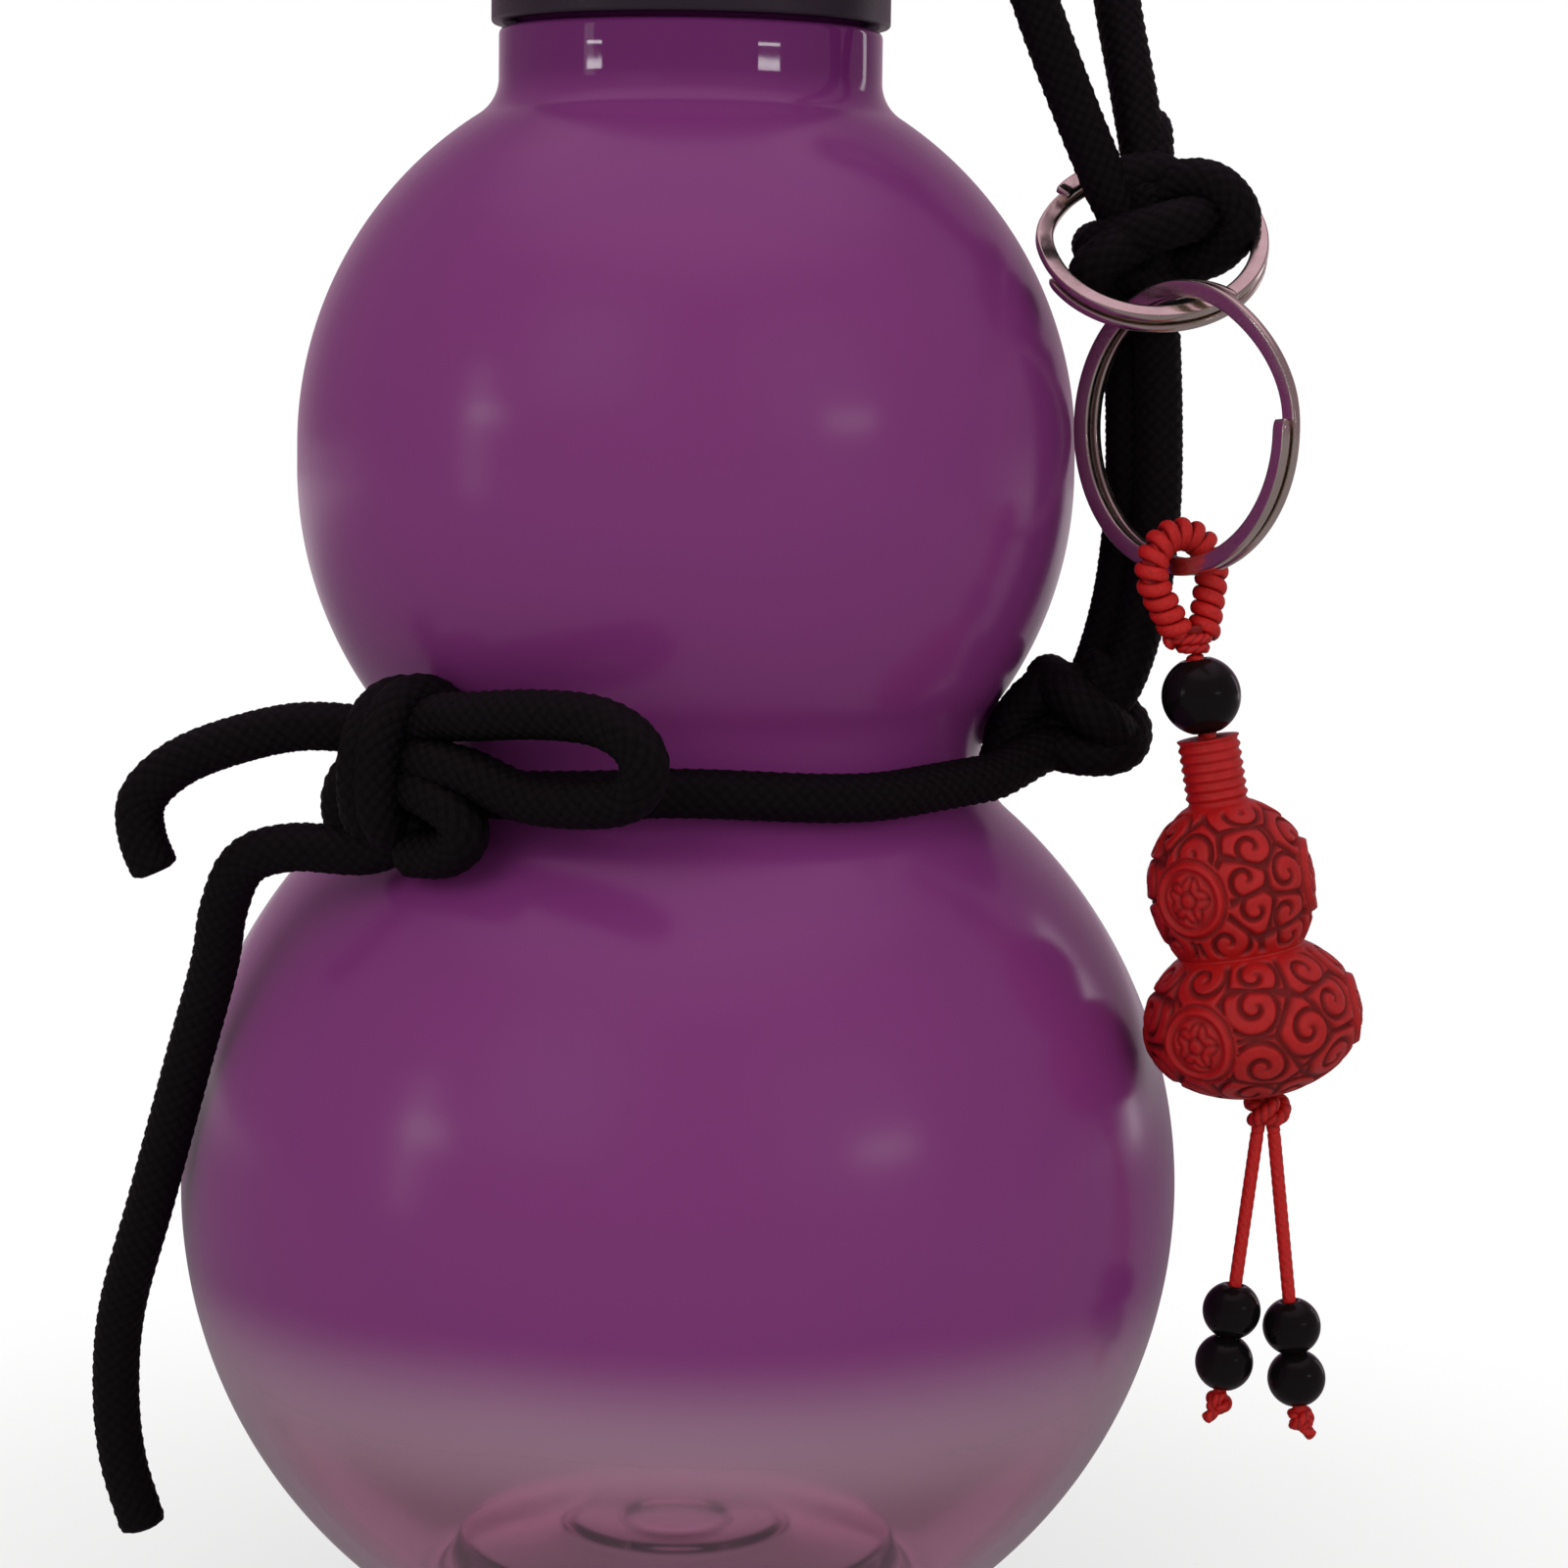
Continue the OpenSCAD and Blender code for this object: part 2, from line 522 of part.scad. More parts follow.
// The waist turn: an open ring whose two ends run straight to the knot at the right
module waist_cord() {
    color(cord_colour)
        translate(turn_centre)
            rotate([1.5, -waist_tilt, 0])
                rotate(knot_turn) {
                    rotate(turn_half_open)
                        rotate_extrude(angle = 360 - 2 * turn_half_open, $fn = turned_fn)
                            translate([waist_turn_r, 0])
                                circle(cord_r, $fn = turned_fn);
                    for (side = [-1, 1])
                        rotate(side * turn_half_open)
                            translate([waist_turn_r, 0, 0])
                                rotate([side * 90, 0, 0])
                                    cylinder(r = cord_r, h = straight_len, $fn = turned_fn);
                }
}

module bow_knot() {
    color(cord_colour)
        union() {
            cord(smooth(bow_frame(bow_wrap_route), 2));
            cord(smooth(bow_frame(bow_left_route), 2));
            cord(smooth(bow_frame(bow_right_route), 2));
        }
}

module bow_loop() {
    color(cord_colour)
        cord(bow_frame(bow_loop_route));
}

module upper_tail() {
    color(cord_colour)
        cord(upper_tail_route);
}

module lower_tail() {
    color(cord_colour)
        cord(lower_tail_route);
}

// An oval wrap of cord round two strands, square to the given axis
module wrap(at, axis, half_a, half_b) {
    side_b = unit(cross(axis, [0, 1, 0]));
    steps = 16;
    p = [for (i = [0:steps - 1]) at + half_a * cos(360 * i / steps) * side_b
        + half_b * sin(360 * i / steps) * [0, 1, 0]];
    t = [for (i = [0:steps - 1]) unit(p[(i + 1) % steps] - p[(i + steps - 1) % steps])];
    n = [for (i = [0:steps - 1]) unit(axis)];
    polyhedron(ring_points(p, t, n, cord_r, cord_r, cord_sides),
        side_faces(steps, cord_sides, closed = true), convexity = 8);
}

module waist_knot() {
    color(cord_colour)
        union() {
            wrap(knot_at, unit(knot_axis), knot_wrap_r, knot_wrap_side);
            for (side = [-1, 1])
                cord(smooth(moved(knot_strand_route, knot_at + [0, side * strand_split, 0]), 2));
        }
}

module riser_strand_back() {
    color(cord_colour)
        cord(moved(riser_route, -riser_offset));
}

module riser_strand_front() {
    color(cord_colour)
        cord(moved(riser_route, riser_offset));
}

// The knot grips the upper ring where the ring's back edge passes through it
module ring_knot() {
    hold = upper_ring_at + upper_ring_r * [0, cos(upper_ring_tilt), sin(upper_ring_tilt)];
    color(cord_colour)
        union() {
            wrap(ring_knot_at + upper_wrap_at, tilted(upper_wrap_tilt), upper_wrap_r,
                upper_wrap_side);
            wrap(ring_knot_at + lower_wrap_at, tilted(lower_wrap_tilt), lower_wrap_r,
                lower_wrap_side);
            for (side = [-1, 1])
                cord(smooth(moved(ring_knot_strand, ring_knot_at
                    + [ring_strand_half * side, ring_strand_back - ring_strand_split * side, 0]), 2));
            cord(smooth(moved(ring_hook_route, hold), 2));
        }
}

module strap_loop() {
    color(cord_colour)
        cord(moved(strap_route, ring_knot_at));
}

// A split ring: two flat turns of wire joined by a short crossing, one unbroken piece
function ring_shift(a) = let (s = min(max((a - (ring_total - ring_climb) / 2) / ring_climb, 0), 1))
    s * s * (3 - 2 * s);
function ring_route(r) = [for (a = [0:360 / ring_steps:ring_total + 0.1])
    [r * cos(a), r * sin(a), ring_layer * (ring_shift(a) - 0.5)]];
module split_ring(r) {
    p = ring_route(r);
    t = headings(p);
    n = [for (i = [0:len(p) - 1]) [0, 0, 1]];
    echo(split_ring_gap = winding_gap(p, ring_steps / 4, wire_h));
    polyhedron(ring_points(p, t, n, wire_h / 2, wire_w / 2, ring_sides),
        concat(side_faces(len(p), ring_sides), end_faces(len(p), ring_sides)), convexity = 8);
}

module upper_split_ring() {
    color(steel_colour)
        translate(upper_ring_at)
            rotate([upper_ring_tilt, 0, 0])
                rotate(upper_ring_start)
                    split_ring(upper_ring_r);
}

module lower_split_ring() {
    color(steel_colour)
        translate(lower_ring_at)
            rotate(-lower_ring_turn)
                rotate([90, 0, 0])
                    rotate(lower_ring_start)
                        split_ring(lower_ring_r);
}

// Places its children on the charm's string: their -Z runs down the leaning string
module on_string(s) {
    translate(swing_at)
        rotate([0, -lean, 0])
            translate([0, 0, -s])
                children();
}

// Middle line of the wrapped loop at the length s from its left foot, with its side vector
function loop_at(s) =
    s < loop_side_len ? [-loop_foot_x, 0, -loop_foot_z] + s * [-sin(loop_arc_low), 0, cos(loop_arc_low)]
    : s > loop_side_len + loop_arc_len
        ? [loop_foot_x, 0, -loop_foot_z] + (loop_len - s) * [sin(loop_arc_low), 0, cos(loop_arc_low)]
    : let (a = 180 + loop_arc_low - (180 + 2 * loop_arc_low) * (s - loop_side_len) / loop_arc_len)
        loop_r * [cos(a), 0, sin(a)];
function loop_out(s) =
    let (d = 0.3, t = unit(loop_at(min(s + d, loop_len)) - loop_at(max(s - d, 0)))) cross([0, 1, 0], t);
wrap_route = [for (i = [0:wrap_turns * wrap_rings])
    let (s = wrap_margin + (loop_len - 2 * wrap_margin) * i / (wrap_turns * wrap_rings),
        a = 360 * i / wrap_rings)
    loop_at(s) - wrap_r * cos(a) * loop_out(s) + [0, wrap_r * sin(a), 0]];

module charm_loop() {
    color(red_colour)
        on_string(loop_arc_at)
            rotate(loop_turn)
                union() {
                    tube([for (i = [0:loop_steps]) loop_at(loop_len * i / loop_steps)],
                        loop_core_d / 2, loop_core_d / 2, loop_core_sides, [0, 1, 0]);
                    translate([0, 0, -loop_drop])
                        cylinder(r1 = loop_foot_x - 0.2, r2 = loop_foot_x + loop_core_d / 2,
                            h = loop_drop - loop_foot_z + 0.4, $fn = turned_fn);
                }
}

module loop_wrap() {
    t = headings(wrap_route);
    echo(loop_wrap_gap = winding_gap(wrap_route, wrap_rings / 2, thread_d));
    color(red_colour)
        on_string(loop_arc_at)
            rotate(loop_turn)
                polyhedron(ring_points(wrap_route, t, carried(t, [0, 1, 0.1]), thread_d / 2,
                    thread_d / 2, wrap_sides), concat(side_faces(len(wrap_route), wrap_sides),
                    end_faces(len(wrap_route), wrap_sides)), convexity = 10);
}

// A bead with flattened ends and a bore
module bead(r, h, bore_r) {
    difference() {
        intersection() {
            sphere(r, $fn = turned_fn);
            cylinder(r = r + over, h = h, center = true, $fn = turned_fn);
        }
        cylinder(r = bore_r, h = 2 * r + over, center = true, $fn = turned_fn);
    }
}

module charm_bead() {
    color(black_colour)
        on_string(bead_at)
            bead(bead_r, 2 * bead_r - 0.6, charm_bore_r);
}

// Half profile of an oval about the height z, between two angles
function oval(r, z, h, from, to, n) =
    [for (i = [0:n]) let (a = from + (to - from) * i / n) [r * cos(a), z + h * sin(a)]];
// Half profile of a bulb of the charm from its foot up, grown by a given amount
function bulb_profile(b, grow, skip = 0) = concat(
    [for (i = [skip:bulb_steps - 1]) let (a = b[4] * (i / bulb_steps - 1))
        [(b[0] + grow) * cos(a), b[1] + (b[2] + grow) * sin(a)]],
    oval(b[0] + grow, b[1], b[3] + grow, 0, b[5], bulb_steps));
function neck_profile() = [for (i = [1:neck_ribs * 6]) let (u = i / (neck_ribs * 6))
    [charm_neck_r - rib_depth_neck * (0.5 - 0.5 * cos(360 * neck_ribs * u)),
        charm_neck_z + u * charm_neck_h]];

// A turned solid between the first and the last height of a half profile
module turned_solid(p) {
    rotate_extrude($fn = turned_fn)
        polygon(concat([[0, p[0][1]]], p, [[0, p[len(p) - 1][1]]]));
}

module charm_gourd() {
    color(red_colour)
        on_string(charm_foot)
            difference() {
                union() {
                    turned_solid(concat(bulb_profile(charm_bulbs[0], 0),
                        bulb_profile(charm_bulbs[1], 0, 1), neck_profile()));
                    for (bulb = charm_bulbs)
                        for (i = [0:medallion_count - 1])
                            intersection() {
                                turned_solid(bulb_profile(bulb, medallion_h));
                                translate([0, 0, bulb[1]])
                                    rotate(medallion_facing + 360 * i / medallion_count)
                                        rotate([0, 90, 0])
                                            cylinder(r = medallion_r, h = charm_lower_r + over,
                                                $fn = turned_fn);
                            }
                }
                translate([0, 0, -over])
                    cylinder(r = charm_bore_r, h = charm_len + 2 * over, $fn = turned_fn);
            }
}

// The cord that runs from the loop through the bead and the charm to the red knot
module charm_cord() {
    color(red_colour)
        on_string(red_knot_at)
            cylinder(d = string_d, h = red_knot_at - loop_end, $fn = turned_fn);
}

module charm_knot() {
    color(red_colour)
        on_string(red_knot_at)
            rotate_extrude($fn = turned_fn)
                polygon(concat(oval(red_knot_r, 0, red_knot_h, -90, acos(string_d / 2 / red_knot_r),
                    16), [[string_d / 2, 0], [0, 0]]));
}

// Places its children on a tassel, whose cord runs down its own -Z
module on_tassel(side) {
    translate(tassel_top + [side * tassel_pitch / 2, 0, 0])
        rotate([0, -side * tassel_spread, 0])
            children();
}

module tassel_cord(side) {
    color(red_colour)
        on_tassel(side)
            union() {
                sphere(d = tassel_d, $fn = turned_fn);
                translate([0, 0, -tassel_run(side)])
                    cylinder(d = tassel_d, h = tassel_run(side), $fn = turned_fn);
            }
}

module tassel_bead(side, s) {
    color(black_colour)
        on_tassel(side)
            translate([0, 0, -s])
                bead(tassel_bead_r, tassel_bead_h, tassel_d / 2 + bead_fit);
}

module end_knot(side) {
    color(red_colour)
        on_tassel(side)
            translate([0, 0, -tassel_run(side)])
                difference() {
                    sphere(end_knot_r, $fn = turned_fn);
                    cylinder(d = tassel_d, h = end_knot_r + over, $fn = turned_fn);
                }
}

bottle_shell();
cap_shell();
cap_seal();
waist_cord();
bow_knot();
bow_loop();
upper_tail();
lower_tail();
waist_knot();
riser_strand_back();
riser_strand_front();
ring_knot();
strap_loop();
upper_split_ring();
lower_split_ring();
charm_loop();
loop_wrap();
charm_bead();
charm_gourd();
charm_cord();
charm_knot();
tassel_cord(-1);  // tassel_cord_left
tassel_cord(1);  // tassel_cord_right
tassel_bead(-1, upper_bead_s(-1));  // bead_left_upper
tassel_bead(-1, lower_bead_s(-1));  // bead_left_lower
tassel_bead(1, upper_bead_s(1));  // bead_right_upper
tassel_bead(1, lower_bead_s(1));  // bead_right_lower
end_knot(-1);  // end_knot_left
end_knot(1);  // end_knot_right
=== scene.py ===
"""Looks of the double-bulb gourd bottle: tinted shell, ribbed cap, braided cord, split rings and carved charm."""

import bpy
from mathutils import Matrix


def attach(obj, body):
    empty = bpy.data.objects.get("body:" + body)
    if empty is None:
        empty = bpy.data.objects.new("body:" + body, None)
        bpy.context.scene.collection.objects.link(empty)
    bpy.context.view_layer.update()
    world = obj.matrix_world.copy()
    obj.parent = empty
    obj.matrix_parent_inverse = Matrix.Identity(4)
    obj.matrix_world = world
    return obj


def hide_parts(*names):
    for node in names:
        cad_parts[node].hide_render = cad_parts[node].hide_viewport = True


bl_info = {
    "name": "Gourd water bottle",
    "version": (1, 0, 0),
    "blender": (4, 5, 0),
    "location": "View3D > Sidebar > Gourd bottle",
    "description": "Builds the visible pieces of a gourd-shaped water bottle round its fixed frame",
    "category": "Add Mesh",
}

import math

import bpy
import numpy as np
from mathutils import Matrix, Vector

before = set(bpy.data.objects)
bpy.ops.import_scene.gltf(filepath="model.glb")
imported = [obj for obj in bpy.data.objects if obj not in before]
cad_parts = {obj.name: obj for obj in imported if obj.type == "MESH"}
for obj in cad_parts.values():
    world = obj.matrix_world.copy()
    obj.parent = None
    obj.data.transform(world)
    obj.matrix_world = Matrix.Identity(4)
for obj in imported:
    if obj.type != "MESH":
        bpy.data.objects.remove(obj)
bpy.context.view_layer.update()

MM = 0.001
TAU = 2 * math.pi


# ---------------------------------------------------------------- settings
class BottleSettings(bpy.types.PropertyGroup):
    """Sizes and colours of the bottle and its cap."""

    tint: bpy.props.StringProperty(name="Tint", description="Colour of the coated wall, sRGB hex", default="#762f6e")
    clear: bpy.props.StringProperty(name="Clear wall", description="Colour of the uncoated wall, sRGB hex", default="#e8c5d7")
    fade_top: bpy.props.FloatProperty(name="Fade top", description="Height at which the tint is full", default=0.040, unit="LENGTH")
    fade_foot: bpy.props.FloatProperty(name="Fade foot", description="Height at which the wall is clear", default=0.019, unit="LENGTH")
    columns: bpy.props.IntProperty(name="Columns", description="Faces round the bottle", default=192, min=48, max=256)
    thread_lead: bpy.props.FloatProperty(name="Thread lead", description="Rise of the thread in one turn", default=0.006, unit="LENGTH")
    thread_depth: bpy.props.FloatProperty(name="Thread depth", description="Height of a thread above its wall", default=0.0007, unit="LENGTH")
    cap_colour: bpy.props.StringProperty(name="Cap", description="Colour of the cap, sRGB hex", default="#221624")


class CordSettings(bpy.types.PropertyGroup):
    """Sizes and colours of the black and the red cords."""

    black: bpy.props.StringProperty(name="Black cord", description="Colour of the braid, sRGB hex", default="#080608")
    diameter: bpy.props.FloatProperty(name="Diameter", description="Thickness of the black cord", default=0.005, unit="LENGTH")
    carriers: bpy.props.IntProperty(name="Strands", description="Strands of the braid in each direction", default=10, min=4, max=16)
    lay: bpy.props.FloatProperty(name="Lay", description="Length in which a strand goes once round the cord", default=0.014, unit="LENGTH")
    relief: bpy.props.FloatProperty(name="Relief", description="Height of the braid's strands", default=0.00028, unit="LENGTH")
    red: bpy.props.StringProperty(name="Red cord", description="Colour of the red cords, sRGB hex", default="#b01512")
    tassel: bpy.props.FloatProperty(name="Tassel cord", description="Thickness of a tassel cord", default=0.0014, unit="LENGTH")


class CharmSettings(bpy.types.PropertyGroup):
    """Carving and colour of the charm."""

    lacquer: bpy.props.StringProperty(name="Lacquer", description="Colour of the carved lacquer, sRGB hex", default="#a31212")
    depth: bpy.props.FloatProperty(name="Carving depth", description="Depth of the carved lines", default=0.0006, unit="LENGTH")
    line: bpy.props.FloatProperty(name="Line width", description="Half width of a carved line", default=0.0003, unit="LENGTH")
    bead: bpy.props.StringProperty(name="Beads", description="Colour of the polished beads, sRGB hex", default="#0d0b0b")


class StageSettings(bpy.types.PropertyGroup):
    """Camera and light."""

    distance: bpy.props.FloatProperty(name="Distance", description="Camera to the bottle's axis", default=0.430, unit="LENGTH")
    pitch: bpy.props.FloatProperty(name="Pitch", description="Camera's look down", default=math.radians(6.2), subtype="ANGLE")
    roll: bpy.props.FloatProperty(name="Roll", description="Camera's turn about its view", default=math.radians(0.75), subtype="ANGLE")
    pale: bpy.props.StringProperty(name="Floor", description="Colour of the floor, sRGB hex", default="#d9d7d4")
    key: bpy.props.FloatProperty(name="Key lamp", description="Power of the large front lamp in watts", default=6.0)


# ---------------------------------------------------------------- small tools
def linear(code):
    """Linear RGBA of an sRGB hex colour."""
    c = np.array([int(code[i : i + 2], 16) / 255 for i in (1, 3, 5)])
    c = np.where(c <= 0.04045, c / 12.92, ((c + 0.055) / 1.055) ** 2.4)
    return (*c.tolist(), 1.0)


def socket(n, key):
    """A node's input by number, or the enabled one of a name."""
    return n.inputs[key] if isinstance(key, int) else next(i for i in n.inputs if i.name == key and i.enabled)


def put(tree, kind, settings=None, links=None):
    """Adds a node of one kind, sets its sockets or fields by name, and links its inputs."""
    n = tree.nodes.new(kind)
    for key, value in (settings or {}).items():
        if hasattr(n, str(key)):
            setattr(n, key, value)
    for key, value in (settings or {}).items():
        if not hasattr(n, str(key)):
            socket(n, key).default_value = value
    for key, source in (links or {}).items():
        tree.links.new(source, socket(n, key))
    return n


def new_material(name):
    """An empty node material with its output node."""
    m = bpy.data.materials.new(name)
    m.use_nodes = True
    m.node_tree.nodes.clear()
    return m, m.node_tree, m.node_tree.nodes.new("ShaderNodeOutputMaterial")


def unit(v):
    """Vectors of length one, along the last axis."""
    return v / np.maximum(np.linalg.norm(v, axis=-1, keepdims=True), 1e-12)


def place(points, matrix):
    """Points moved by a 4 by 4 matrix."""
    m = np.array(matrix)
    return points @ m[:3, :3].T + m[:3, 3]


def turned_by(degrees, axis):
    """Rotation about X, Y or Z as a 4 by 4 matrix."""
    return Matrix.Rotation(math.radians(degrees), 4, axis)


def moved_by(v):
    """Translation by millimetres as a 4 by 4 matrix in metres."""
    return Matrix.Translation(Vector(v) * MM)


def add_mesh(name, verts, quads, tris, material, values=None):
    """Makes a smooth mesh object from arrays of points, quads and triangles; values are numbers kept per point."""
    me = bpy.data.meshes.new(name)
    quads, tris = np.asarray(quads, np.int32).reshape(-1, 4), np.asarray(tris, np.int32).reshape(-1, 3)
    loops = np.concatenate([quads.ravel(), tris.ravel()])
    starts = np.concatenate([np.arange(len(quads)) * 4, len(quads) * 4 + np.arange(len(tris)) * 3])
    me.vertices.add(len(verts))
    me.vertices.foreach_set("co", np.asarray(verts, np.float32).ravel())
    me.loops.add(len(loops))
    me.loops.foreach_set("vertex_index", loops.astype(np.int32))
    me.polygons.add(len(starts))
    me.polygons.foreach_set("loop_start", starts.astype(np.int32))
    me.polygons.foreach_set("use_smooth", np.ones(len(starts), bool))
    me.update(calc_edges=True)
    me.validate()
    for key, v in (values or {}).items():
        me.attributes.new(key, "FLOAT", "POINT").data.foreach_set("value", np.asarray(v, np.float32).ravel())
    me.materials.append(material)
    ob = bpy.data.objects.new(name, me)
    bpy.context.scene.collection.objects.link(ob)
    return ob


def settle(ob, body, slot, *nodes):
    """Hangs a finished piece on its body, in place of the nodes it stands for; the slot argument is not used."""
    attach(ob, body)
    if nodes:
        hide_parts(*nodes)
    return ob


def grid_faces(rows, cols, closed_rows):
    """Quads of a grid whose columns always close and whose rows close if asked."""
    r = np.arange(rows if closed_rows else rows - 1)[:, None]
    c = np.arange(cols)[None, :]
    a, b = r * cols + c, ((r + 1) % rows) * cols + c
    m = (c + 1) % cols
    a2, b2 = r * cols + m, ((r + 1) % rows) * cols + m
    return np.stack([a, a2, b2, b], -1).reshape(-1, 4)


# ---------------------------------------------------------------- surfaces
def spline(points, step):
    """Catmull-Rom curve through given points, sampled evenly by length: each span is a cubic whose slopes come from its
    neighbours.
    """
    p = np.asarray(points, float)
    q = np.vstack([2 * p[0] - p[1], p, 2 * p[-1] - p[-2]])
    u = np.linspace(0, 1, 24, endpoint=False)[None, :, None]
    a, b, c, d = (q[i : len(q) - 3 + i][:, None, :] for i in range(4))
    fine = 0.5 * (2 * b + (c - a) * u + (2 * a - 5 * b + 4 * c - d) * u**2 + (3 * b - a - 3 * c + d) * u**3)
    fine = np.vstack([fine.reshape(-1, 3), p[-1:]])
    return even(fine, step)


def even(fine, step):
    """A path resampled at equal lengths close to step."""
    s = np.concatenate([[0], np.cumsum(np.linalg.norm(np.diff(fine, axis=0), axis=1))])
    n = max(4, int(round(s[-1] / step)))
    t = np.linspace(0, s[-1], n + 1)
    return np.stack([np.interp(t, s, fine[:, i]) for i in range(3)], 1)


def softened(path, passes):
    """A path whose inner points are averaged with their neighbours again and again, its ends kept."""
    p = path.copy()
    for _ in range(passes):
        p[1:-1] = 0.25 * p[:-2] + 0.5 * p[1:-1] + 0.25 * p[2:]
    return p


def path_length(path):
    """Length of a path of points."""
    return float(np.linalg.norm(np.diff(path, axis=0), axis=1).sum())


def frames_along(path, closed, start):
    """Tangents and two side vectors at each point of a path; each side vector is the last one with its part along the new tangent taken out."""
    t = unit(np.roll(path, -1, 0) - np.roll(path, 1, 0)) if closed else unit(np.gradient(path, axis=0))
    n = np.empty_like(path)
    side = np.asarray(start, float)
    for i in range(len(path)):
        side = side - (side @ t[i]) * t[i]
        side = side / np.linalg.norm(side)
        n[i] = side
    if closed:
        left = math.atan2(np.dot(np.cross(n[-1], n[0]), t[0]), np.dot(n[-1], n[0]))
        turn = (left * np.arange(len(path)) / len(path))[:, None]
        n = n * np.cos(turn) + np.cross(t, n) * np.sin(turn)
    return t, n, np.cross(t, n)


def sweep(name, path, section, material, closed=False, start=(0.1, 0.2, 1.0), values=None):
    """A closed section carried along a path. section is an array (rings, columns, 2) of offsets along the two side vectors; open ends close on a middle point."""
    t, n, b = frames_along(path, closed, start)
    pts = path[:, None, :] + section[..., :1] * n[:, None, :] + section[..., 1:] * b[:, None, :]
    rows, cols = pts.shape[:2]
    verts = pts.reshape(-1, 3)
    tris = np.zeros((0, 3), int)
    if not closed:
        verts = np.vstack([verts, pts[0].mean(0), pts[-1].mean(0)])
        c = np.arange(cols)
        m = (c + 1) % cols
        last = (rows - 1) * cols
        tris = np.vstack([
            np.stack([np.full(cols, rows * cols), m, c], 1),
            np.stack([np.full(cols, rows * cols + 1), last + c, last + m], 1),
        ])
        values = {k: np.concatenate([np.ravel(v), [np.mean(v[0]), np.mean(v[-1])]]) for k, v in (values or {}).items()}
    return add_mesh(name, verts, grid_faces(rows, cols, closed), tris, material, values)


def rounded_ends(length_at, total, radius, round_off):
    """Radius factor that rounds the cut ends of a cord off over a short length, as a quarter circle."""
    d = np.minimum(length_at, total - length_at)
    x = np.clip(1 - d / round_off, 0, 1)
    return 1 - (round_off / radius) * (1 - np.sqrt(np.maximum(1 - x**2, 0)))


def braid_height(turns, along, carriers, lay):
    """Height from 0 to 1 of a tubular braid. Two families of strands run round in opposite senses; in each diamond one family lies on top and rises as a half sine across and along it."""
    a, b = carriers * (turns + along / lay), carriers * (turns - along / lay)
    fa, fb = np.mod(a, 1) - 0.5, np.mod(b, 1) - 0.5
    on_top = np.mod(np.floor(a) + np.floor(b), 2) < 1
    across, down = np.where(on_top, fa, fb), np.where(on_top, fb, fa)
    return np.cos(math.pi * across) ** 0.55 * (0.3 + 0.7 * np.cos(math.pi * down) ** 0.7)


def braided(name, path, radius, closed=False, ends=True, squeeze=None, start=(0.1, 0.2, 1.0)):
    """A braided cord: a round section whose radius rises and falls with the braid. squeeze narrows it along its length."""
    cfg = bpy.context.scene.gourd_cord
    cols = 56
    lengths = np.concatenate([[0], np.cumsum(np.linalg.norm(np.diff(path, axis=0), axis=1))])
    total = lengths[-1]
    lay = cfg.lay
    if closed:
        lap = total + np.linalg.norm(path[0] - path[-1])
        lay = lap / max(1, round(lap / cfg.lay * cfg.carriers)) * cfg.carriers
    turns = np.arange(cols) / cols
    h = braid_height(turns[None, :], lengths[:, None], cfg.carriers, lay)
    r = radius - cfg.relief * (1 - h)
    if ends and not closed:
        r = r * rounded_ends(lengths, total, radius, 0.35 * radius)[:, None]
    if squeeze is not None:
        r = r * squeeze[:, None]
    angle = TAU * turns[None, :]
    section = np.stack([r * np.cos(angle), r * np.sin(angle)], -1)
    # The relief h also sets the painted shade in the gaps between the strands.
    return sweep(name, path, section, bpy.data.materials["braided_polyester_black"], closed, start, {"relief": h})


def twisted(name, path, radius, strands, lay, material, ends=True, start=(0.1, 0.2, 1.0), closed=False, gap=0.2):
    """A laid cord of a few strands: its section is the outline of touching round strands, turned steadily along the path."""
    cols = 8 * strands
    lengths = np.concatenate([[0], np.cumsum(np.linalg.norm(np.diff(path, axis=0), axis=1))])
    turns = np.arange(cols) / cols
    h = np.abs(np.cos(math.pi * strands * (turns[None, :] + lengths[:, None] / lay))) ** 0.8
    r = radius * (1 - gap + gap * h)
    if ends and not closed:
        r = r * rounded_ends(lengths, lengths[-1], radius, 0.6 * radius)[:, None]
    angle = TAU * turns[None, :]
    section = np.stack([r * np.cos(angle), r * np.sin(angle)], -1)
    # The relief also sets the painted shade in the grooves between the strands.
    return sweep(name, path, section, material, closed, start, {"relief": 1 - 4 * gap * (1 - h)})


def turned(name, profile, cols, material, shape=None, closed=True, values=None):
    """A profile of (radius, height) points turned about Z. shape(angle, row) adds to the radius. Points on the axis become one pole."""
    profile = np.asarray(profile, float)
    angle = np.arange(cols) / cols * TAU
    r = profile[:, :1] + (shape(angle[None, :], np.arange(len(profile))[:, None]) if shape else 0)
    z = np.broadcast_to(profile[:, 1:], r.shape if shape else (len(profile), cols))
    r = np.broadcast_to(r, z.shape)
    pts = np.stack([r * np.cos(angle), r * np.sin(angle), z], -1)
    first, last = profile[0, 0] < 1e-9, profile[-1, 0] < 1e-9
    body = pts[1 if first else 0 : len(profile) - (1 if last else 0)]
    rows = len(body)
    verts, tris = [body.reshape(-1, 3)], []
    c = np.arange(cols)
    m = (c + 1) % cols
    if first:
        tris.append(np.stack([np.full(cols, rows * cols), m, c], 1))
        verts.append(pts[:1, 0])
    if last:
        tris.append(np.stack([np.full(cols, rows * cols + int(first)), (rows - 1) * cols + c, (rows - 1) * cols + m], 1))
        verts.append(pts[-1:, 0])
    faces = grid_faces(rows, cols, closed and not (first or last))
    return add_mesh(name, np.vstack(verts), faces, np.vstack(tris) if tris else [], material, values)


def arc(cx, cz, r, start, stop, n):
    """Points of an arc in the plane of a profile, angles in degrees."""
    a = np.radians(np.linspace(start, stop, n + 1))
    return np.stack([cx + r * np.cos(a), cz + r * np.sin(a)], 1)


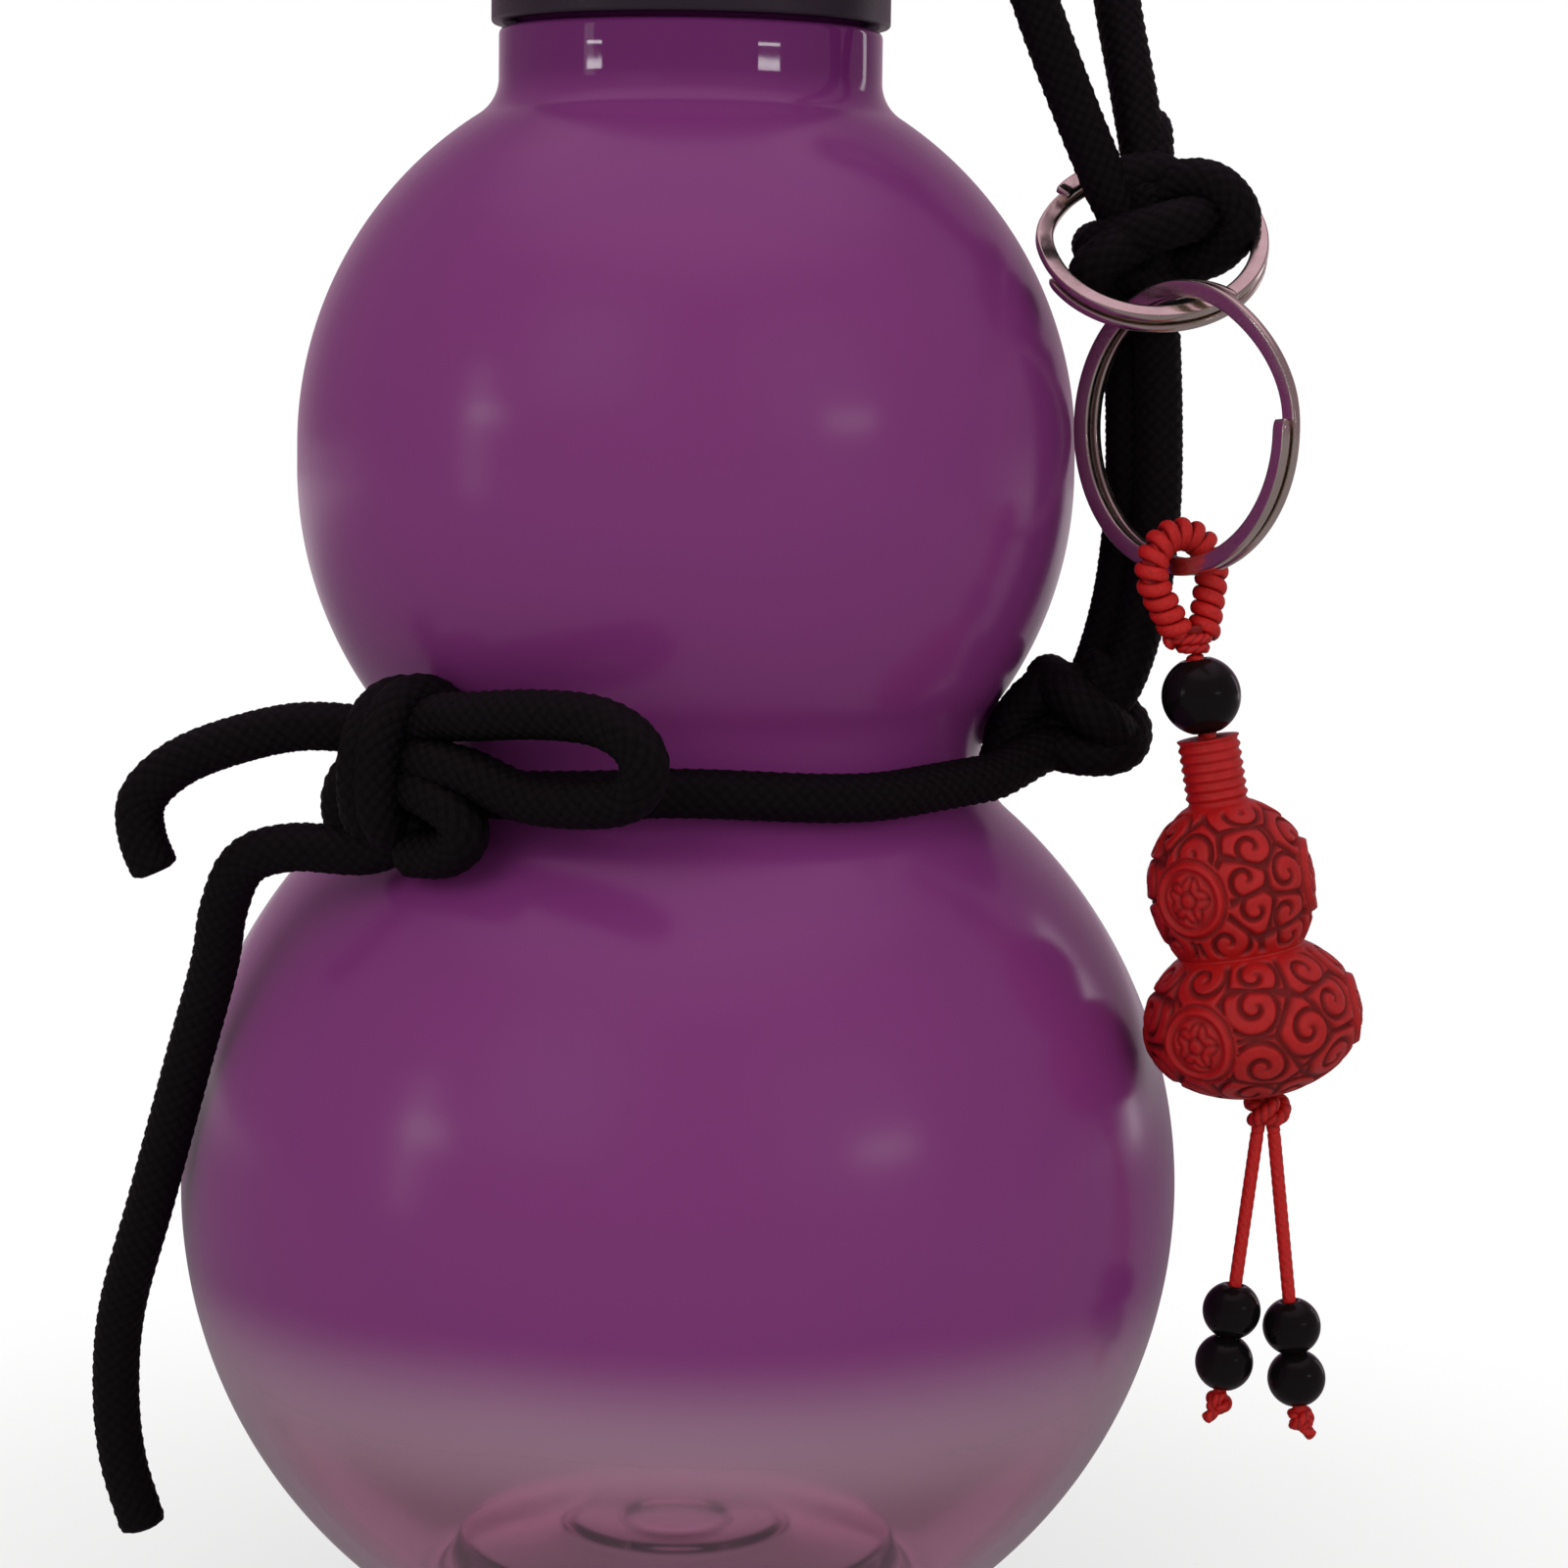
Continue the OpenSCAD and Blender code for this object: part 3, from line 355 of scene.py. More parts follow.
def filled(points, step):
    """A profile with points added on its straight stretches, none further apart than step."""
    p = np.asarray(points, float)
    out = [p[:1]]
    for a, b in zip(p[:-1], p[1:]):
        n = max(1, int(math.ceil(np.linalg.norm(b - a) / step)))
        out.append(a + (b - a) * (np.arange(1, n + 1) / n)[:, None])
    return np.vstack(out)


# ---------------------------------------------------------------- materials
def tinted_copolyester():
    """Blow-moulded copolyester, coated purple and left clear at the foot: a deep glossy colour that opens to a see-through wall."""
    cfg = bpy.context.scene.gourd_bottle
    m, t, out = new_material("tinted_copolyester")
    where = put(t, "ShaderNodeTexCoord")
    parts = put(t, "ShaderNodeSeparateXYZ", links={"Vector": where.outputs["Object"]})
    cloud = put(t, "ShaderNodeTexNoise", {"Scale": 18.0, "Detail": 1.0, "Roughness": 0.4}, {"Vector": where.outputs["Object"]})
    waver = put(t, "ShaderNodeMath", {"operation": "MULTIPLY_ADD", 1: 0.0035, 2: -0.00175}, {0: cloud.outputs["Fac"]})
    high = put(t, "ShaderNodeMath", {"operation": "ADD"}, {0: parts.outputs["Z"], 1: waver.outputs[0]})
    fade = put(t, "ShaderNodeMapRange", {"interpolation_type": "SMOOTHSTEP", "From Min": cfg.fade_foot, "From Max": cfg.fade_top}, {"Value": high.outputs[0]})
    neck = put(t, "ShaderNodeMapRange", {"interpolation_type": "SMOOTHSTEP", "From Min": 0.157, "From Max": 0.163}, {"Value": parts.outputs["Z"]})
    colour = put(t, "ShaderNodeMix", {"data_type": "RGBA", "A": linear(cfg.clear), "B": linear(cfg.tint)}, {"Factor": fade.outputs[0]})
    deep = put(t, "ShaderNodeMix", {"data_type": "RGBA", "B": linear("#732a6d")}, {"Factor": neck.outputs[0], "A": colour.outputs["Result"]})
    open_low = put(t, "ShaderNodeMapRange", {"To Min": 0.97, "To Max": 0.05}, {"Value": fade.outputs[0]})
    open_neck = put(t, "ShaderNodeMath", {"operation": "MULTIPLY_ADD", 1: 0.3}, {0: neck.outputs[0], 2: open_low.outputs[0]})
    smooth = put(t, "ShaderNodeMapRange", {"To Min": 0.05, "To Max": 0.21}, {"Value": fade.outputs[0]})
    crisp = put(t, "ShaderNodeMath", {"operation": "MULTIPLY_ADD", 1: -0.17}, {0: neck.outputs[0], 2: smooth.outputs[0]})
    ripple = put(t, "ShaderNodeTexNoise", {"Scale": 26.0, "Detail": 2.0}, {"Vector": where.outputs["Object"]})
    bump = put(t, "ShaderNodeBump", {"Strength": 0.12, "Distance": 0.0006}, {"Height": ripple.outputs["Fac"]})
    shader = put(t, "ShaderNodeBsdfPrincipled", {"IOR": 1.5}, {"Base Color": deep.outputs["Result"], "Roughness": crisp.outputs[0],
        "Transmission Weight": open_neck.outputs[0], "Normal": bump.outputs[0]})
    t.links.new(shader.outputs[0], out.inputs["Surface"])
    return m


def moulded_polypropylene():
    """Black moulded polypropylene: satin, with the faint sparkle of a spark-eroded mould."""
    m, t, out = new_material("moulded_polypropylene_black")
    where = put(t, "ShaderNodeTexCoord")
    grit = put(t, "ShaderNodeTexNoise", {"Scale": 2600.0, "Detail": 3.0}, {"Vector": where.outputs["Object"]})
    bump = put(t, "ShaderNodeBump", {"Strength": 0.25, "Distance": 0.0001}, {"Height": grit.outputs["Fac"]})
    rough = put(t, "ShaderNodeMapRange", {"To Min": 0.34, "To Max": 0.5}, {"Value": grit.outputs["Fac"]})
    shader = put(t, "ShaderNodeBsdfPrincipled", {"Base Color": linear(bpy.context.scene.gourd_bottle.cap_colour), "IOR": 1.49}, {"Roughness": rough.outputs[0], "Normal": bump.outputs[0]})
    t.links.new(shader.outputs[0], out.inputs["Surface"])
    return m


def silicone_rubber():
    """Milky silicone gasket: soft, slightly dusty."""
    m, t, out = new_material("silicone_rubber_milky")
    where = put(t, "ShaderNodeTexCoord")
    dust = put(t, "ShaderNodeTexNoise", {"Scale": 420.0, "Detail": 3.0}, {"Vector": where.outputs["Object"]})
    tone = put(t, "ShaderNodeMix", {"data_type": "RGBA", "A": linear("#d9d8d2"), "B": linear("#e8e7e3")}, {"Factor": dust.outputs["Fac"]})
    shader = put(t, "ShaderNodeBsdfPrincipled", {"Roughness": 0.55, "IOR": 1.41, "Subsurface Weight": 0.2}, {"Base Color": tone.outputs["Result"]})
    t.links.new(shader.outputs[0], out.inputs["Surface"])
    return m


def cord_material(name, colour, gap, rough, fibre_scale, shine):
    """Polyester or nylon thread: painted shade darkens the gaps between the strands, with fine fibres that break up the
    shine.
    """
    m, t, out = new_material(name)
    where = put(t, "ShaderNodeTexCoord")
    relief = put(t, "ShaderNodeAttribute", {"attribute_name": "relief"})
    fibre = put(t, "ShaderNodeTexNoise", {"Scale": fibre_scale, "Detail": 4.0, "Roughness": 0.65}, {"Vector": where.outputs["Object"]})
    # Painted shade: where the relief attribute is low, between the strands, the colour goes to the gap colour.
    gap_shade = put(t, "ShaderNodeMapRange", {"From Min": 0.1, "From Max": 0.8}, {"Value": relief.outputs["Fac"]})
    tone = put(t, "ShaderNodeMix", {"data_type": "RGBA", "A": linear(gap), "B": linear(colour)}, {"Factor": gap_shade.outputs[0]})
    spread = put(t, "ShaderNodeMapRange", {"From Min": 0.3, "From Max": 0.7, "To Min": 0.78, "To Max": 1.18}, {"Value": fibre.outputs["Fac"]})
    varied = put(t, "ShaderNodeVectorMath", {"operation": "SCALE"}, {0: tone.outputs["Result"], "Scale": spread.outputs[0]})
    bump = put(t, "ShaderNodeBump", {"Strength": 0.5, "Distance": 0.00012}, {"Height": fibre.outputs["Fac"]})
    shader = put(t, "ShaderNodeBsdfPrincipled", {"Roughness": rough, "Specular IOR Level": shine}, {"Base Color": varied.outputs[0], "Normal": bump.outputs[0]})
    t.links.new(shader.outputs[0], out.inputs["Surface"])
    return m


def nickel_plated_steel():
    """Nickel-plated spring steel: bright and slightly warm, with fine rubbed scratches and a few dull patches."""
    m, t, out = new_material("nickel_plated_steel")
    where = put(t, "ShaderNodeTexCoord")
    wear = put(t, "ShaderNodeTexNoise", {"Scale": 260.0, "Detail": 5.0, "Roughness": 0.7}, {"Vector": where.outputs["Object"]})
    rough = put(t, "ShaderNodeMapRange", {"From Min": 0.35, "From Max": 0.7, "To Min": 0.12, "To Max": 0.32}, {"Value": wear.outputs["Fac"]})
    tone = put(t, "ShaderNodeMix", {"data_type": "RGBA", "A": linear("#eee8dc"), "B": linear("#cdc4b4")}, {"Factor": wear.outputs["Fac"]})
    bump = put(t, "ShaderNodeBump", {"Strength": 0.1, "Distance": 0.00005}, {"Height": wear.outputs["Fac"]})
    shader = put(t, "ShaderNodeBsdfPrincipled", {"Metallic": 1.0}, {"Base Color": tone.outputs["Result"], "Roughness": rough.outputs[0], "Normal": bump.outputs[0]})
    t.links.new(shader.outputs[0], out.inputs["Surface"])
    return m


def carved_lacquer():
    """Carved red lacquer: satin red on the faces, rougher in the cut lines, where polish doesn't reach, and darker
    there by painted shade.
    """
    cfg = bpy.context.scene.gourd_charm
    m, t, out = new_material("carved_red_lacquer")
    where = put(t, "ShaderNodeTexCoord")
    relief = put(t, "ShaderNodeAttribute", {"attribute_name": "relief"})
    grain = put(t, "ShaderNodeTexNoise", {"Scale": 900.0, "Detail": 4.0}, {"Vector": where.outputs["Object"]})
    # Painted shade: the cut lines, where the relief attribute is low, take the dark red #660b0c.
    tone = put(t, "ShaderNodeMix", {"data_type": "RGBA", "A": linear("#660b0c"), "B": linear(cfg.lacquer)}, {"Factor": relief.outputs["Fac"]})
    spread = put(t, "ShaderNodeMapRange", {"From Min": 0.3, "From Max": 0.7, "To Min": 0.88, "To Max": 1.1}, {"Value": grain.outputs["Fac"]})
    varied = put(t, "ShaderNodeVectorMath", {"operation": "SCALE"}, {0: tone.outputs["Result"], "Scale": spread.outputs[0]})
    rough = put(t, "ShaderNodeMapRange", {"To Min": 0.7, "To Max": 0.42}, {"Value": relief.outputs["Fac"]})
    bump = put(t, "ShaderNodeBump", {"Strength": 0.3, "Distance": 0.00008}, {"Height": grain.outputs["Fac"]})
    shader = put(t, "ShaderNodeBsdfPrincipled", {"IOR": 1.5, "Specular IOR Level": 0.3}, {"Base Color": varied.outputs[0], "Roughness": rough.outputs[0], "Normal": bump.outputs[0]})
    t.links.new(shader.outputs[0], out.inputs["Surface"])
    return m


def polished_bead():
    """Black glass bead, tumbled smooth: deep black with a small clean highlight."""
    m, t, out = new_material("polished_glass_black")
    where = put(t, "ShaderNodeTexCoord")
    haze = put(t, "ShaderNodeTexNoise", {"Scale": 300.0, "Detail": 2.0}, {"Vector": where.outputs["Object"]})
    rough = put(t, "ShaderNodeMapRange", {"To Min": 0.1, "To Max": 0.24}, {"Value": haze.outputs["Fac"]})
    shader = put(t, "ShaderNodeBsdfPrincipled", {"Base Color": linear(bpy.context.scene.gourd_charm.bead), "IOR": 1.52, "Specular IOR Level": 0.17}, {"Roughness": rough.outputs[0]})
    t.links.new(shader.outputs[0], out.inputs["Surface"])
    return m


# ---------------------------------------------------------------- bottle and cap
LOWER_R, LOWER_Z, UPPER_R, UPPER_Z, BAND = 53.0, 45.3, 40.8, 122.3, 2.6
WAIST_ROUND, SHOULDER_ROUND, COLLAR_R, COLLAR_H, WALL = 9.0, 4.5, 20.0, 5.2, 1.8
FINISH_R, FINISH_H, MOUTH_R, FOOT_R, FOOT_W = 18.2, 20.0, 16.0, 26.5, 2.2
PUSH_UP, RING_OUT, RING_IN, STEP = 4.8, 11.5, 6.0, 0.8
UP_LOW, UP_TOP = UPPER_Z - BAND / 2, UPPER_Z + BAND / 2
FAR_LOW, FAR_UP = LOWER_R + WAIST_ROUND, UPPER_R + WAIST_ROUND
WAIST_Z = ((FAR_LOW**2 - FAR_UP**2) + (UP_LOW**2 - LOWER_Z**2)) / (2 * (UP_LOW - LOWER_Z))
WAIST_MID = math.sqrt(FAR_LOW**2 - (WAIST_Z - LOWER_Z) ** 2)
WAIST_R = WAIST_MID - WAIST_ROUND
LOW_TURN = math.degrees(math.atan2(WAIST_Z - LOWER_Z, WAIST_MID))
UP_TURN = math.degrees(math.atan2(WAIST_Z - UP_LOW, WAIST_MID))
SHOULDER_MID = COLLAR_R + SHOULDER_ROUND
COLLAR_Z = UP_TOP + math.sqrt((UPPER_R + SHOULDER_ROUND) ** 2 - SHOULDER_MID**2)
SHOULDER_TURN = math.degrees(math.atan2(COLLAR_Z - UP_TOP, SHOULDER_MID))
FINISH_Z = COLLAR_Z + COLLAR_H
MOUTH_Z = FINISH_Z + FINISH_H
CAP_LOW = FINISH_Z + 0.4
CAP_CEILING = MOUTH_Z + 1.6
CAP_BORE = FINISH_R + 1.1


def rounded_profile(points, radius, n):
    """A profile whose inner corners are cut off by short arcs: each corner is replaced by points of a quadratic curve between the tangent points."""
    p = np.asarray(points, float)
    out = [p[:1]]
    for a, b, c in zip(p[:-2], p[1:-1], p[2:]):
        da, dc = np.linalg.norm(a - b), np.linalg.norm(c - b)
        k = min(radius, 0.45 * da, 0.45 * dc)
        s, e = b + (a - b) / da * k, b + (c - b) / dc * k
        u = np.linspace(0, 1, n + 1)[:, None]
        out.append((1 - u) ** 2 * s + 2 * u * (1 - u) * b + u**2 * e)
    out.append(p[-1:])
    return np.vstack(out)


def bottle_profile():
    """Closed profile of the shell: from the middle of the base out and up the outside, over the lip and down the inside."""
    heel = math.degrees(math.asin((1.4 - LOWER_Z) / LOWER_R))
    inner_heel = math.degrees(math.asin((2.8 - LOWER_Z) / (LOWER_R - WALL)))
    base = rounded_profile(
        [[0, PUSH_UP + STEP], [RING_IN - 0.5, PUSH_UP + STEP], [RING_IN + 0.1, PUSH_UP + 2 * STEP], [RING_OUT - 0.5, PUSH_UP + 2 * STEP],
         [RING_OUT + 0.5, PUSH_UP + STEP], [FOOT_R - FOOT_W / 2 - 2.2, PUSH_UP + 0.1], [FOOT_R - FOOT_W / 2 - 0.6, PUSH_UP - 1.2],
         [FOOT_R - FOOT_W / 2, 0.2], [FOOT_R, 0.0], [FOOT_R + FOOT_W / 2, 0.25], arc(0, LOWER_Z, LOWER_R, heel, 0, 30)[1]], 1.1, 5)
    outer = np.vstack([
        base[:-1],
        arc(0, LOWER_Z, LOWER_R, heel + 1.2, LOW_TURN, 92),
        np.stack([WAIST_MID - WAIST_ROUND * np.cos(np.radians(np.linspace(LOW_TURN, UP_TURN, 34)[1:-1])),
                  WAIST_Z - WAIST_ROUND * np.sin(np.radians(np.linspace(LOW_TURN, UP_TURN, 34)[1:-1]))], 1),
        arc(0, UP_LOW, UPPER_R, UP_TURN, 0, 34),
        arc(0, UP_TOP, UPPER_R, 0, SHOULDER_TURN, 46),
        np.stack([SHOULDER_MID - SHOULDER_ROUND * np.cos(np.radians(np.linspace(SHOULDER_TURN, 0, 16)[1:])),
                  COLLAR_Z - SHOULDER_ROUND * np.sin(np.radians(np.linspace(SHOULDER_TURN, 0, 16)[1:]))], 1),
    ])
    neck = rounded_profile([outer[-1], [COLLAR_R, FINISH_Z - 0.1], [FINISH_R, FINISH_Z], [FINISH_R, FINISH_Z + 8], [FINISH_R, MOUTH_Z], [MOUTH_R, MOUTH_Z],
                            [MOUTH_R, FINISH_Z + 1], [COLLAR_R - WALL, FINISH_Z - 2 * WALL],
                            [COLLAR_R - WALL, COLLAR_Z]], 0.7, 5)[1:-1]
    a = np.radians(np.linspace(0, SHOULDER_TURN, 14))
    shoulder = np.stack([SHOULDER_MID - (SHOULDER_ROUND + WALL) * np.cos(a), COLLAR_Z - (SHOULDER_ROUND + WALL) * np.sin(a)], 1)
    inner_up = arc(0, UP_TOP, UPPER_R - WALL, SHOULDER_TURN, 0, 26)[1:]
    inner_mid = arc(0, UP_LOW, UPPER_R - WALL, 0, UP_TURN, 20)
    a = np.radians(np.linspace(UP_TURN, LOW_TURN, 20)[1:-1])
    waist = np.stack([WAIST_MID - (WAIST_ROUND + WALL) * np.cos(a), WAIST_Z - (WAIST_ROUND + WALL) * np.sin(a)], 1)
    inner_low = arc(0, LOWER_Z, LOWER_R - WALL, LOW_TURN, inner_heel, 46)
    floor = rounded_profile(
        [inner_low[-1], [FOOT_R + 0.2, 2.1], [FOOT_R - FOOT_W / 2 - 0.4, 2.6], [FOOT_R - FOOT_W / 2 - 2, PUSH_UP + WALL], [RING_OUT + 0.7, PUSH_UP + STEP + WALL],
         [RING_OUT, PUSH_UP + 2 * STEP + WALL], [RING_IN - 0.3, PUSH_UP + 2 * STEP + WALL], [RING_IN - 0.8, PUSH_UP + STEP + WALL],
         [0, PUSH_UP + STEP + WALL]], 0.8, 4)[1:]
    return filled(np.vstack([outer, neck, shoulder, inner_up, inner_mid, waist, inner_low, floor]), 2.5) * MM


def thread(name, radius, low, turns, depth, phase, material):
    """A thread ridge: a rounded trapezium carried up a helix, radius from its wall, that rises from the wall and sinks back into it over a sixth of a turn."""
    cfg = bpy.context.scene.gourd_bottle
    n = int(turns * 96)
    a = np.linspace(0, turns * TAU, n + 1)
    grow = np.clip(np.minimum(a, a[-1] - a) / (TAU / 6), 0, 1)
    grow = grow * grow * (3 - 2 * grow)
    across = np.array([-1.15, -0.75, -0.42, -0.2, 0.2, 0.42, 0.75, 1.15]) * MM
    rise = np.array([-0.35, 0.15, 0.85, 1.0, 1.0, 0.85, 0.15, -0.35])
    r = radius + depth * np.where(rise[None, :] > 0, rise[None, :] * grow[:, None] - 0.3 * (1 - grow[:, None]), rise[None, :])
    z = low + cfg.thread_lead * a[:, None] / TAU + across[None, :]
    pts = np.stack([r * np.cos(a + phase)[:, None], r * np.sin(a + phase)[:, None], z], -1)
    rows, cols = pts.shape[:2]
    faces = grid_faces(rows, cols, False)
    if depth < 0:
        faces = faces[:, ::-1]
    ends = np.array([[0, i + 1, i] for i in range(1, cols - 1)] + [[(rows - 1) * cols, (rows - 1) * cols + i, (rows - 1) * cols + i + 1] for i in range(1, cols - 1)])
    return add_mesh(name, pts.reshape(-1, 3), faces[:, ::-1], ends if depth < 0 else ends[:, ::-1], material)


class GOURD_OT_bottle(bpy.types.Operator):
    """Makes the bottle's glossy shell and the thread on its neck."""

    bl_idname = "gourd.bottle"
    bl_label = "Bottle"

    def execute(self, context):
        cfg = context.scene.gourd_bottle
        m = tinted_copolyester()
        shell = turned("bottle_wall", bottle_profile(), cfg.columns, m)
        settle(shell, "bottle", "bottle_plastic", "bottle_shell")
        ridge = thread("neck_thread", FINISH_R * MM, (FINISH_Z + 4.2) * MM, 2.1, cfg.thread_depth, 0.0, m)
        settle(ridge, "bottle", "bottle_plastic")
        return {"FINISHED"}


class GOURD_OT_cap(bpy.types.Operator):
    """Makes the ribbed screw cap with its inner thread, and finishes the gasket."""

    bl_idname = "gourd.cap"
    bl_label = "Cap"

    def execute(self, context):
        cfg = context.scene.gourd_bottle
        m = moulded_polypropylene()
        side_top, ribs, deep = CAP_CEILING + 0.4, 60, 0.6
        outer = rounded_profile(
            [[CAP_BORE, CAP_LOW], [20.8, CAP_LOW], [20.8, CAP_LOW + 3], [20.8, CAP_LOW + 3.5], [20.8, side_top], [20.6, side_top + 0.5]], 0.4, 4)
        roof = np.vstack([arc(18.6, side_top, 2, 10, 84, 10), [[16, side_top + 2.35], [10.3, side_top + 3.12], [5, side_top + 3.5], [0, side_top + 3.6]]])
        outside = filled(np.vstack([outer[2:-1], roof]), 1.4)
        inside = filled(rounded_profile([[0, CAP_CEILING], [CAP_BORE, CAP_CEILING], [CAP_BORE, CAP_LOW + 0.5], [CAP_BORE + 0.3, CAP_LOW]], 0.5, 3), 1.6)
        z = outside[:, 1]
        grip = np.clip((z - CAP_LOW - 3.0) / 0.6, 0, 1) * np.clip((side_top + 0.9 - z) / 1.4, 0, 1)

        def rib(angle, row):
            """Sharp-backed grip ribs, a rounded ridge for each rib, faded at both ends of the skirt."""
            wave = np.abs(np.cos(ribs * angle / 2)) ** 0.7
            return deep * MM * grip[row[:, 0]][:, None] * wave

        shell = turned("cap_outside", outside * MM, ribs * 10, m, rib, closed=False)
        bore = turned("cap_inside", inside * MM, 144, m, closed=False)
        low = rounded_profile([[CAP_BORE + 0.3, CAP_LOW], [19.9, CAP_LOW - 0.0], [20.6, CAP_LOW + 0.02]], 0.1, 3) * MM
        rim = turned("cap_rim", low, ribs * 10, m, closed=False)
        bpy.ops.object.select_all(action="DESELECT")
        for ob in (shell, bore, rim):
            ob.select_set(True)
        context.view_layer.objects.active = shell
        bpy.ops.object.join()
        shell.name = "cap_body"
        settle(shell, "cap", "cap_plastic", "cap_shell")
        inner = thread("cap_thread", CAP_BORE * MM, (CAP_LOW + 4.0) * MM, 1.9, -cfg.thread_depth, math.pi, m)
        settle(inner, "cap", "cap_plastic")
        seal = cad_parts["cap_seal"]
        seal.data.materials.clear()
        seal.data.materials.append(silicone_rubber())
        return {"FINISHED"}


# ---------------------------------------------------------------- black cord
BOW_TURN, KNOT_TURN = 229.0, -11.0
BOW_AT = np.array([(WAIST_R + 7.4) * math.cos(math.radians(BOW_TURN)), (WAIST_R + 7.4) * math.sin(math.radians(BOW_TURN)), WAIST_Z + 0.3])
KNOT_AT = np.array([(WAIST_R + 11) * math.cos(math.radians(KNOT_TURN)), (WAIST_R + 11) * math.sin(math.radians(KNOT_TURN)), WAIST_Z + 5.3])
RING_KNOT_AT = np.array([47.2, -7.4, 144.3])
UPPER_RING_AT = np.array([47.6, -10.4, 145.3])


def in_bow(points):
    """Offsets right, towards the viewer and up from the bow's middle, turned into the bottle's frame."""
    a = math.radians(BOW_TURN)
    across, out = np.array([-math.sin(a), math.cos(a), 0]), np.array([math.cos(a), math.sin(a), 0])
    p = np.asarray(points, float)
    return BOW_AT + p[:, :1] * across + p[:, 1:2] * out + p[:, 2:] * np.array([0, 0, 1])


def oval(at, axis, half_a, half_b, n=96):
    """A closed oval path square to an axis, with one half width level and the other along Y."""
    axis = unit(np.asarray(axis, float))
    side = unit(np.cross(axis, [0, 1, 0]))
    a = np.linspace(0, TAU, n, endpoint=False)[:, None]
    return np.asarray(at) + half_a * np.cos(a) * side + half_b * np.sin(a) * np.array([0, 1, 0])


UPPER_TAIL = [[-24.6, -28, 93.2], [-29.5, -27, 95.4], [-37, -26, 96], [-44, -25.5, 94.5], [-50, -25.2, 92], [-53.6, -25, 88.4], [-53.6, -25, 84.5], [-52.2, -25, 81]]
LOWER_TAIL = [[-24.5, -30.6, 87.4], [-30, -30.2, 84.2], [-38, -29, 84.2], [-43, -27.5, 82.4], [-45.4, -25.5, 77.4], [-46.6, -23.6, 71.5], [-49.8, -21, 60.5],
              [-54, -17.5, 46], [-57.6, -14, 34], [-58.6, -12.5, 25], [-58, -12, 17], [-55.8, -12, 9.5]]
RISER = [[42.2, -8.6, 97], [44.6, -8, 101.6], [46.6, -7, 109], [47.6, -6, 118], [47.6, -5.7, 127], [47.1, -6.2, 136.5]]
STRAP = [[45.2, -8.6, 146.6], [42.6, -9.4, 151.8], [39, -10, 160], [35.2, -10.8, 169.5], [32, -11.2, 179], [30.2, -10, 187.5], [30.8, -5.6, 194.4],
         [34, 0.6, 197.2], [38.6, 5, 193.4], [42, 5.6, 185.5], [43.6, 2.6, 177], [44.4, -1.2, 169.5], [45.8, -4.8, 161], [47, -7, 153.6], [47.6, -8, 148]]
BOW_WRAP = [[1.5, -3.6, 4.6], [0.8, -0.6, 6.8], [0.2, 2.8, 6.2], [0, 4.9, 3], [-0.2, 5.3, -1], [-0.5, 4.3, -4.8], [-0.8, 1.4, -6.9], [-1, -2.2, -5.6]]
BOW_LEFT = [[1.5, 1.6, 1.5], [-2.5, 2.8, 0.8], [-6, 3, -1.2], [-7.8, 2.6, -4], [-7, 2.2, -7], [-4.5, 1.8, -8.6]]
BOW_RIGHT = [[-2.5, 1.6, -2], [3, 2.8, -1.8], [7.6, 2.8, -3.4], [9.2, 2.4, -5.6], [6.6, 2.2, -7.8], [0.5, 2, -8.4]]
BOW_LOOP = [[0.4, 1.4, 3.4], [4.6, 1.4, 5.2], [10, 1.6, 5.8], [17, 0.6, 6.4], [23.5, -0.6, 6.2], [27.6, -1.4, 4.6], [29, -1.8, 1.9], [27.2, -1.6, -0.9],
            [22.5, -0.7, -1.9], [15.5, 0.6, -1.8], [9.4, 2, 0.2], [4.6, 2.4, 0.8], [0.4, 2, 1]]
KNOT_STRAND = [[-7.4, 0, -4.2], [-3.6, 0, -2.6], [0, 0, 0.6], [2.6, 0, 5.4]]
KNOT_LOBES = (
    [[33, -10.6, 91.2], [34.8, -9.8, 96.4], [37.8, -10.6, 99.6], [41, -9.8, 99.4], [42.6, -8, 96.6]],
    [[38, -11.4, 93.6], [42, -12.4, 93], [45.6, -11.4, 93.4], [46.4, -8.8, 95.6], [43.6, -6.4, 97.8]],
)
BOW_FILL = [[0.6, 0.4, 3.6], [0.2, 1.9, 0.8], [-0.4, 1.9, -2.4], [-0.8, 0.6, -4.6]]
RING_LOBES = (
    [[46.4, -6.6, 146.2], [49.6, -8.8, 151], [53.8, -10.2, 151.2], [56.4, -10.4, 147.8], [54, -9, 144.4], [48.6, -6.6, 143.2]],
    [[48, -9, 146.4], [44.6, -12.2, 145], [41.6, -12.4, 142.6], [41.6, -9.6, 140.4], [44.8, -7.4, 139.8]],
    [[42.6, -7.4, 148.6], [44.8, -8.6, 151.6], [48.6, -8.2, 152.2], [50.6, -6.6, 149.4]],
)
RING_STRAND = [[0, 0, -8.6], [-0.3, -0.2, -3], [-1, -0.2, 3], [-1.9, -0.4, 7.4]]
RING_HOOK = [[-0.4, -6.6, -4.2], [0, -3.8, 1.2], [0, -1.7, 3.8], [0, 2, 3.6], [0, 4, 0.6], [0, 3, -3], [-0.4, -0.8, -7.6]]
RISER_OFFSET = np.array([1.4, -2.1, 0])
BRAID_STEP = 0.3


